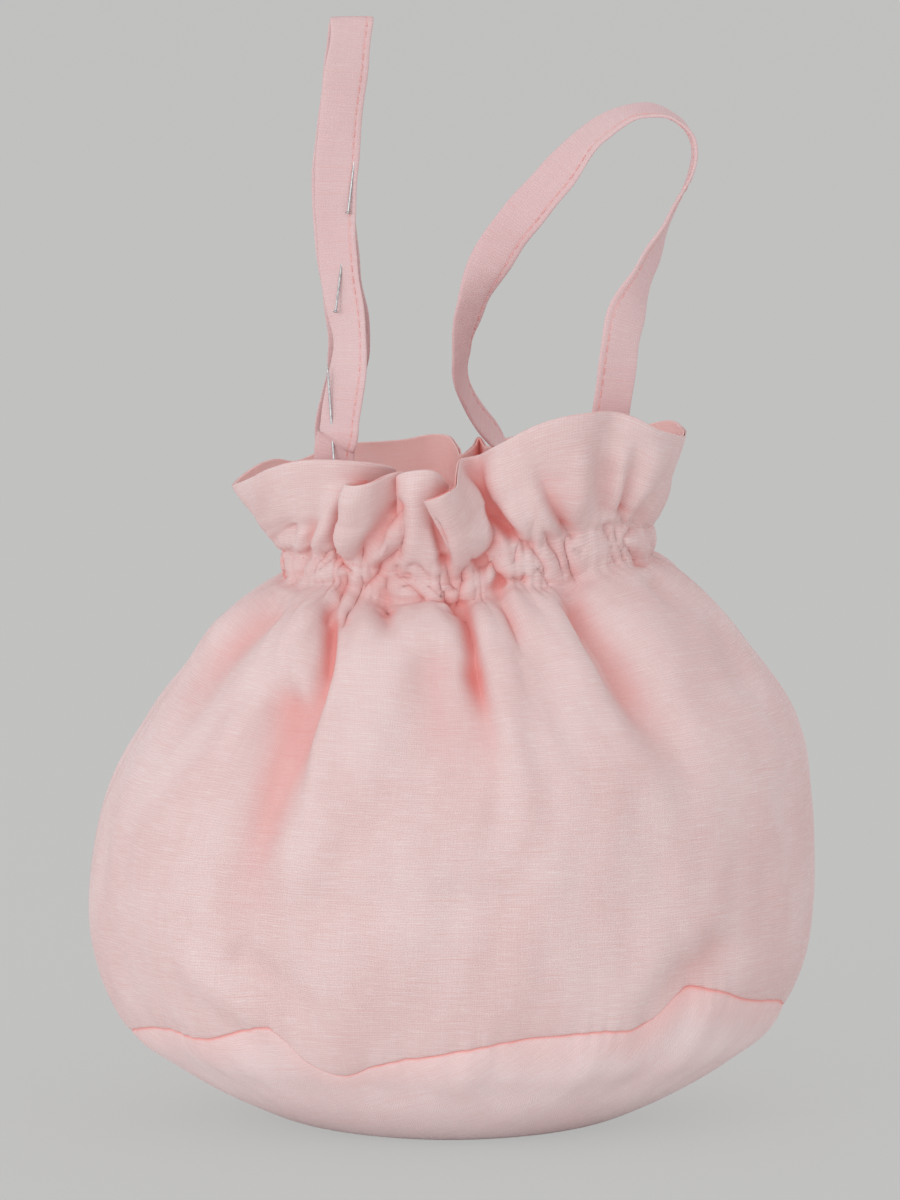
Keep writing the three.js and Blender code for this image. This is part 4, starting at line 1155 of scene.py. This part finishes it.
strap_linen = linen_finish(
    "strap_linen", pink=srgb(217, 179, 181), pale=srgb(229, 205, 205), crease=srgb(226, 150, 146)
)
strap_rows = {}
for side, stations, stitched, seed in (
    ("left", left_stations, 1, 31),
    ("right", right_stations, -1, 57),
):
    strap, rows, length = strap_piece(f"{side}_strap", stations, stitched, seed)
    strap.data.materials.append(strap_linen)
    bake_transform(strap)
    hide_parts(*(f"{side}_handle_{part}" for part in ("front_end", "loop", "back_end")))
    strap_rows[side] = rows

# Pins. Three dressmaker's pins of drawn steel, each with a small flat head, run through the left
# strap to hold it folded. They are smooth and bright, and slide out head first.
PIN_LENGTH = 29.5
PIN_SIDES = 20

# The outline of a pin from the middle of its head to its point: radius, distance from the head.
pin_outline = [
    (0.5, 0), (0.8, 0.08), (0.9, 0.22), (0.86, 0.4), (0.6, 0.5), (0.36, 0.56), (0.35, 0.8),
    (0.35, 26), (0.27, 27.4), (0.14, 28.8), (0.03, 29.45),
]
pin_heads = {
    "pin_upper": (-30.424, -10.013, 276.762),
    "pin_middle": (-34.134, -14.607, 247.557),
    "pin_lower": (-34.576, -26.462, 204.386),
}
pull_ways = {joint["child"]: np.array(joint["axis"]) for joint in frame["joints"]}
pin_steel, tree, shader = new_finish("pin_steel")
place = tree.nodes.new("ShaderNodeTexCoord")
drawn = stretched_noise(tree, place.outputs["Object"], (2500, 2500), 3, 0.4)
steel_tone = remap(tree, drawn, 0.3, 0.7)
steel_colour = mix_colour(tree, steel_tone, srgb(172, 172, 174), srgb(214, 214, 215))
tree.links.new(steel_colour, shader.inputs["Base Color"])
tree.links.new(remap(tree, drawn, 0.3, 0.7, 0.22, 0.38), shader.inputs["Roughness"])
shader.inputs["Metallic"].default_value = 1
for name, head in pin_heads.items():
    way = -pull_ways[name] / np.linalg.norm(pull_ways[name])
    first = np.cross(way, (1, 0, 0))
    first /= np.linalg.norm(first)
    second = np.cross(way, first)
    points = [np.array(head)]
    for radius, up in pin_outline:
        for k in range(PIN_SIDES):
            angle = 2 * math.pi * k / PIN_SIDES
            spoke = first * math.cos(angle) + second * math.sin(angle)
            points.append(head + way * up + radius * spoke)
    tip = len(points)
    points.append(head + way * PIN_LENGTH)
    faces = []
    last = tip - PIN_SIDES
    for k in range(PIN_SIDES):
        after = (k + 1) % PIN_SIDES
        faces.append([0, 1 + after, 1 + k])
        for low in range(1, last, PIN_SIDES):
            high = low + PIN_SIDES
            faces.append([low + k, low + after, high + after, high + k])
        faces.append([last + k, last + after, tip])
    mesh = bpy.data.meshes.new(f"steel_{name}")
    mesh.from_pydata((np.array(points) * MM).tolist(), [], faces)
    mesh.polygons.foreach_set("use_smooth", np.ones(len(mesh.polygons), dtype=bool))
    mesh.update()
    pin = add_object(f"steel_{name}", mesh)
    mesh.materials.append(pin_steel)
    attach(pin, name)
    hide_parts(name)

# Sewing thread. Two rows of small stitches hold the channel, one follows the base seam, and one runs
# along each handle on both faces. The thread is soft cotton a little deeper in colour than the linen.
stitch_tree = bpy.data.node_groups.new("stitch_row", "GeometryNodeTree")
new_socket(stitch_tree, "Line", "INPUT", "NodeSocketGeometry")
for size in ("Pitch", "Stitch Length", "Thread"):
    new_socket(stitch_tree, size, "INPUT", "NodeSocketFloat")
new_socket(stitch_tree, "Finish", "INPUT", "NodeSocketMaterial")
new_socket(stitch_tree, "Stitches", "OUTPUT", "NodeSocketGeometry")
nodes = stitch_tree.nodes
stitch_in = nodes.new("NodeGroupInput")
stitch_out = nodes.new("NodeGroupOutput")
to_curve = nodes.new("GeometryNodeMeshToCurve")
even = nodes.new("GeometryNodeResampleCurve")
even.mode = "LENGTH"
thread_ball = nodes.new("GeometryNodeMeshUVSphere")
thread_ball.inputs["Segments"].default_value = 7
thread_ball.inputs["Rings"].default_value = 6
thread_ball.inputs["Radius"].default_value = 0.5
stretch = nodes.new("ShaderNodeCombineXYZ")
shape = nodes.new("GeometryNodeTransform")
tangent = nodes.new("GeometryNodeInputTangent")
aim = nodes.new("FunctionNodeAlignRotationToVector")
aim.axis = "X"
place = nodes.new("GeometryNodeInstanceOnPoints")
real = nodes.new("GeometryNodeRealizeInstances")
smooth = nodes.new("GeometryNodeSetShadeSmooth")
paint = nodes.new("GeometryNodeSetMaterial")
for source, output, target, entry in (
    (stitch_in, "Line", to_curve, "Mesh"),
    (to_curve, "Curve", even, "Curve"),
    (stitch_in, "Pitch", even, "Length"),
    (stitch_in, "Stitch Length", stretch, "X"),
    (stitch_in, "Thread", stretch, "Y"),
    (stitch_in, "Thread", stretch, "Z"),
    (thread_ball, "Mesh", shape, "Geometry"),
    (stretch, "Vector", shape, "Scale"),
    (tangent, "Tangent", aim, "Vector"),
    (even, "Curve", place, "Points"),
    (shape, "Geometry", place, "Instance"),
    (aim, "Rotation", place, "Rotation"),
    (place, "Instances", real, "Geometry"),
    (real, "Geometry", smooth, "Geometry"),
    (smooth, "Geometry", paint, "Geometry"),
    (stitch_in, "Finish", paint, "Material"),
    (paint, "Geometry", stitch_out, "Stitches"),
):
    stitch_tree.links.new(source.outputs[output], target.inputs[entry])

cotton, tree, shader = new_finish("cotton_thread")
place = tree.nodes.new("ShaderNodeTexCoord")
twist = stretched_noise(tree, place.outputs["Object"], (3000, 3000), 2, 1.2)
thread_tone = remap(tree, twist, 0.3, 0.7)
thread_colour = mix_colour(tree, thread_tone, srgb(222, 158, 154), srgb(236, 186, 181))
tree.links.new(thread_colour, shader.inputs["Base Color"])
shader.inputs["Roughness"].default_value = 0.75
shader.inputs["Sheen Weight"].default_value = 0.1


def stitch_piece(name, lines, pitch, length, thread, closed):
    """Stitches along the given lines of points, as one plain mesh."""
    points = np.concatenate(lines)
    edges = []
    start = 0
    for line in lines:
        count = len(line)
        edges += [(start + k, start + k + 1) for k in range(count - 1)]
        if closed:
            edges.append((start + count - 1, start))
        start += count
    guide_mesh = bpy.data.meshes.new(f"{name}_line")
    guide_mesh.from_pydata((points * MM).tolist(), edges, [])
    guide = add_object(f"{name}_line", guide_mesh)
    modifier = guide.modifiers.new("stitches", "NODES")
    modifier.node_group = stitch_tree
    values = {
        "Pitch": pitch * MM, "Stitch Length": length * MM, "Thread": thread * MM, "Finish": cotton,
    }
    for item in stitch_tree.interface.items_tree:
        if item.in_out == "INPUT" and item.name in values:
            modifier[item.identifier] = values[item.name]
    evaluated = guide.evaluated_get(bpy.context.evaluated_depsgraph_get())
    mesh = bpy.data.meshes.new_from_object(evaluated)
    mesh.name = name
    piece = add_object(name, mesh)
    guide.modifiers.remove(modifier)
    bpy.data.objects.remove(guide)
    return piece


CHANNEL_SEAT = 0.48
SEAM_SEAT = 0.35
channel_lines = [
    cloth[row] + CHANNEL_SEAT * cloth_normal[row] for row in (NECK_ROW + 1, CHANNEL_TOP - 1)
]
channel_stitches = stitch_piece(
    "channel_stitches", channel_lines, pitch=2.6, length=1.6, thread=0.34, closed=True
)
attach(channel_stitches, "pouch")
seam_lines = [cloth[SEAM_ROW] + SEAM_SEAT * cloth_normal[SEAM_ROW]]
seam_stitches = stitch_piece(
    "seam_stitches", seam_lines, pitch=2.4, length=1.9, thread=0.42, closed=True
)
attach(seam_stitches, "pouch")
for side in ("left", "right"):
    stitches = stitch_piece(
        f"{side}_strap_stitches", strap_rows[side], pitch=3.35, length=2.3, thread=0.36, closed=False
    )
    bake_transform(stitches)

# Studio. A plain grey floor under a soft key light from the upper left and a broad low one from the
# front, with an even fill all round. The floor looks the same grey from wherever it is seen. The
# camera is a long lens, 10 degrees above the pouch.
FLOOR_REACH = 6
FLAT_PART = 0.85
CAMERA_REACH = 6
CAMERA_AIM = 0.1579
floor_mesh = bpy.data.meshes.new("floor")
floor_corners = [
    (x * FLOOR_REACH, y * FLOOR_REACH, 0) for x, y in ((-1, -1), (1, -1), (1, 1), (-1, 1))
]
floor_mesh.from_pydata(floor_corners, [], [(0, 1, 2, 3)])
floor = add_object("floor", floor_mesh)
paper, tree, shader = new_finish("studio_paper")
shader.inputs["Base Color"].default_value = srgb(235, 235, 234)
shader.inputs["Roughness"].default_value = 1
shader.inputs["Specular IOR Level"].default_value = 0
glow = tree.nodes.new("ShaderNodeEmission")
glow.inputs["Color"].default_value = srgb(189, 189, 188)
rays = tree.nodes.new("ShaderNodeLightPath")
seen_ray = math_node(tree, "MAXIMUM", rays.outputs["Is Camera Ray"], rays.outputs["Is Glossy Ray"])
seen_ray = math_node(tree, "MAXIMUM", seen_ray, rays.outputs["Is Transmission Ray"])
flat_part = math_node(tree, "MULTIPLY", seen_ray, FLAT_PART)
blend_shader = tree.nodes.new("ShaderNodeMixShader")
tree.links.new(flat_part, blend_shader.inputs["Fac"])
tree.links.new(shader.outputs["BSDF"], blend_shader.inputs[1])
tree.links.new(glow.outputs["Emission"], blend_shader.inputs[2])
tree.links.new(blend_shader.outputs["Shader"], tree.nodes["Material Output"].inputs["Surface"])
floor_mesh.materials.append(paper)
floor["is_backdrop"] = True

world = bpy.data.worlds.new("studio")
bpy.context.scene.world = world
world.use_nodes = True
world.node_tree.nodes["Background"].inputs["Color"].default_value = (1, 1, 1, 1)
world.node_tree.nodes["Background"].inputs["Strength"].default_value = 0.78


def soft_lamp(name, place, aim_at, size, power):
    """A broad lamp at a place, turned to where it aims."""
    lamp = bpy.data.lights.new(name, "AREA")
    lamp.size = size
    lamp.energy = power
    lit = add_object(name, lamp)
    lit.location = place
    lit.visible_camera = False
    way = np.array(aim_at) - np.array(place)
    flat_way = math.hypot(way[0], way[1])
    rise = math.atan2(way[2], flat_way)
    lit.rotation_euler = (math.pi / 2 + rise, 0, math.atan2(-way[0], way[1]))


soft_lamp("key_lamp", (-1.6, -2.0, 0.9), (0, 0, 0.12), 1.4, 10)
soft_lamp("low_lamp", (-1.0, -2.2, 0.12), (0, 0, 0.06), 2.0, 16)
soft_lamp("right_lamp", (1.7, -0.6, 0.9), (0, 0, 0.15), 1.4, 0.8)

camera_data = bpy.data.cameras.new("camera")
camera_data.lens = 600
camera_data.sensor_width = 36
camera = add_object("camera", camera_data)
camera_height = CAMERA_AIM + CAMERA_REACH * math.sin(VIEW_RISE)
camera.location = (0, -CAMERA_REACH * math.cos(VIEW_RISE), camera_height)
camera.rotation_euler = (math.pi / 2 - VIEW_RISE, 0, 0)
bpy.context.scene.camera = camera
bpy.context.scene.view_settings.view_transform = "Standard"

low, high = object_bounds()
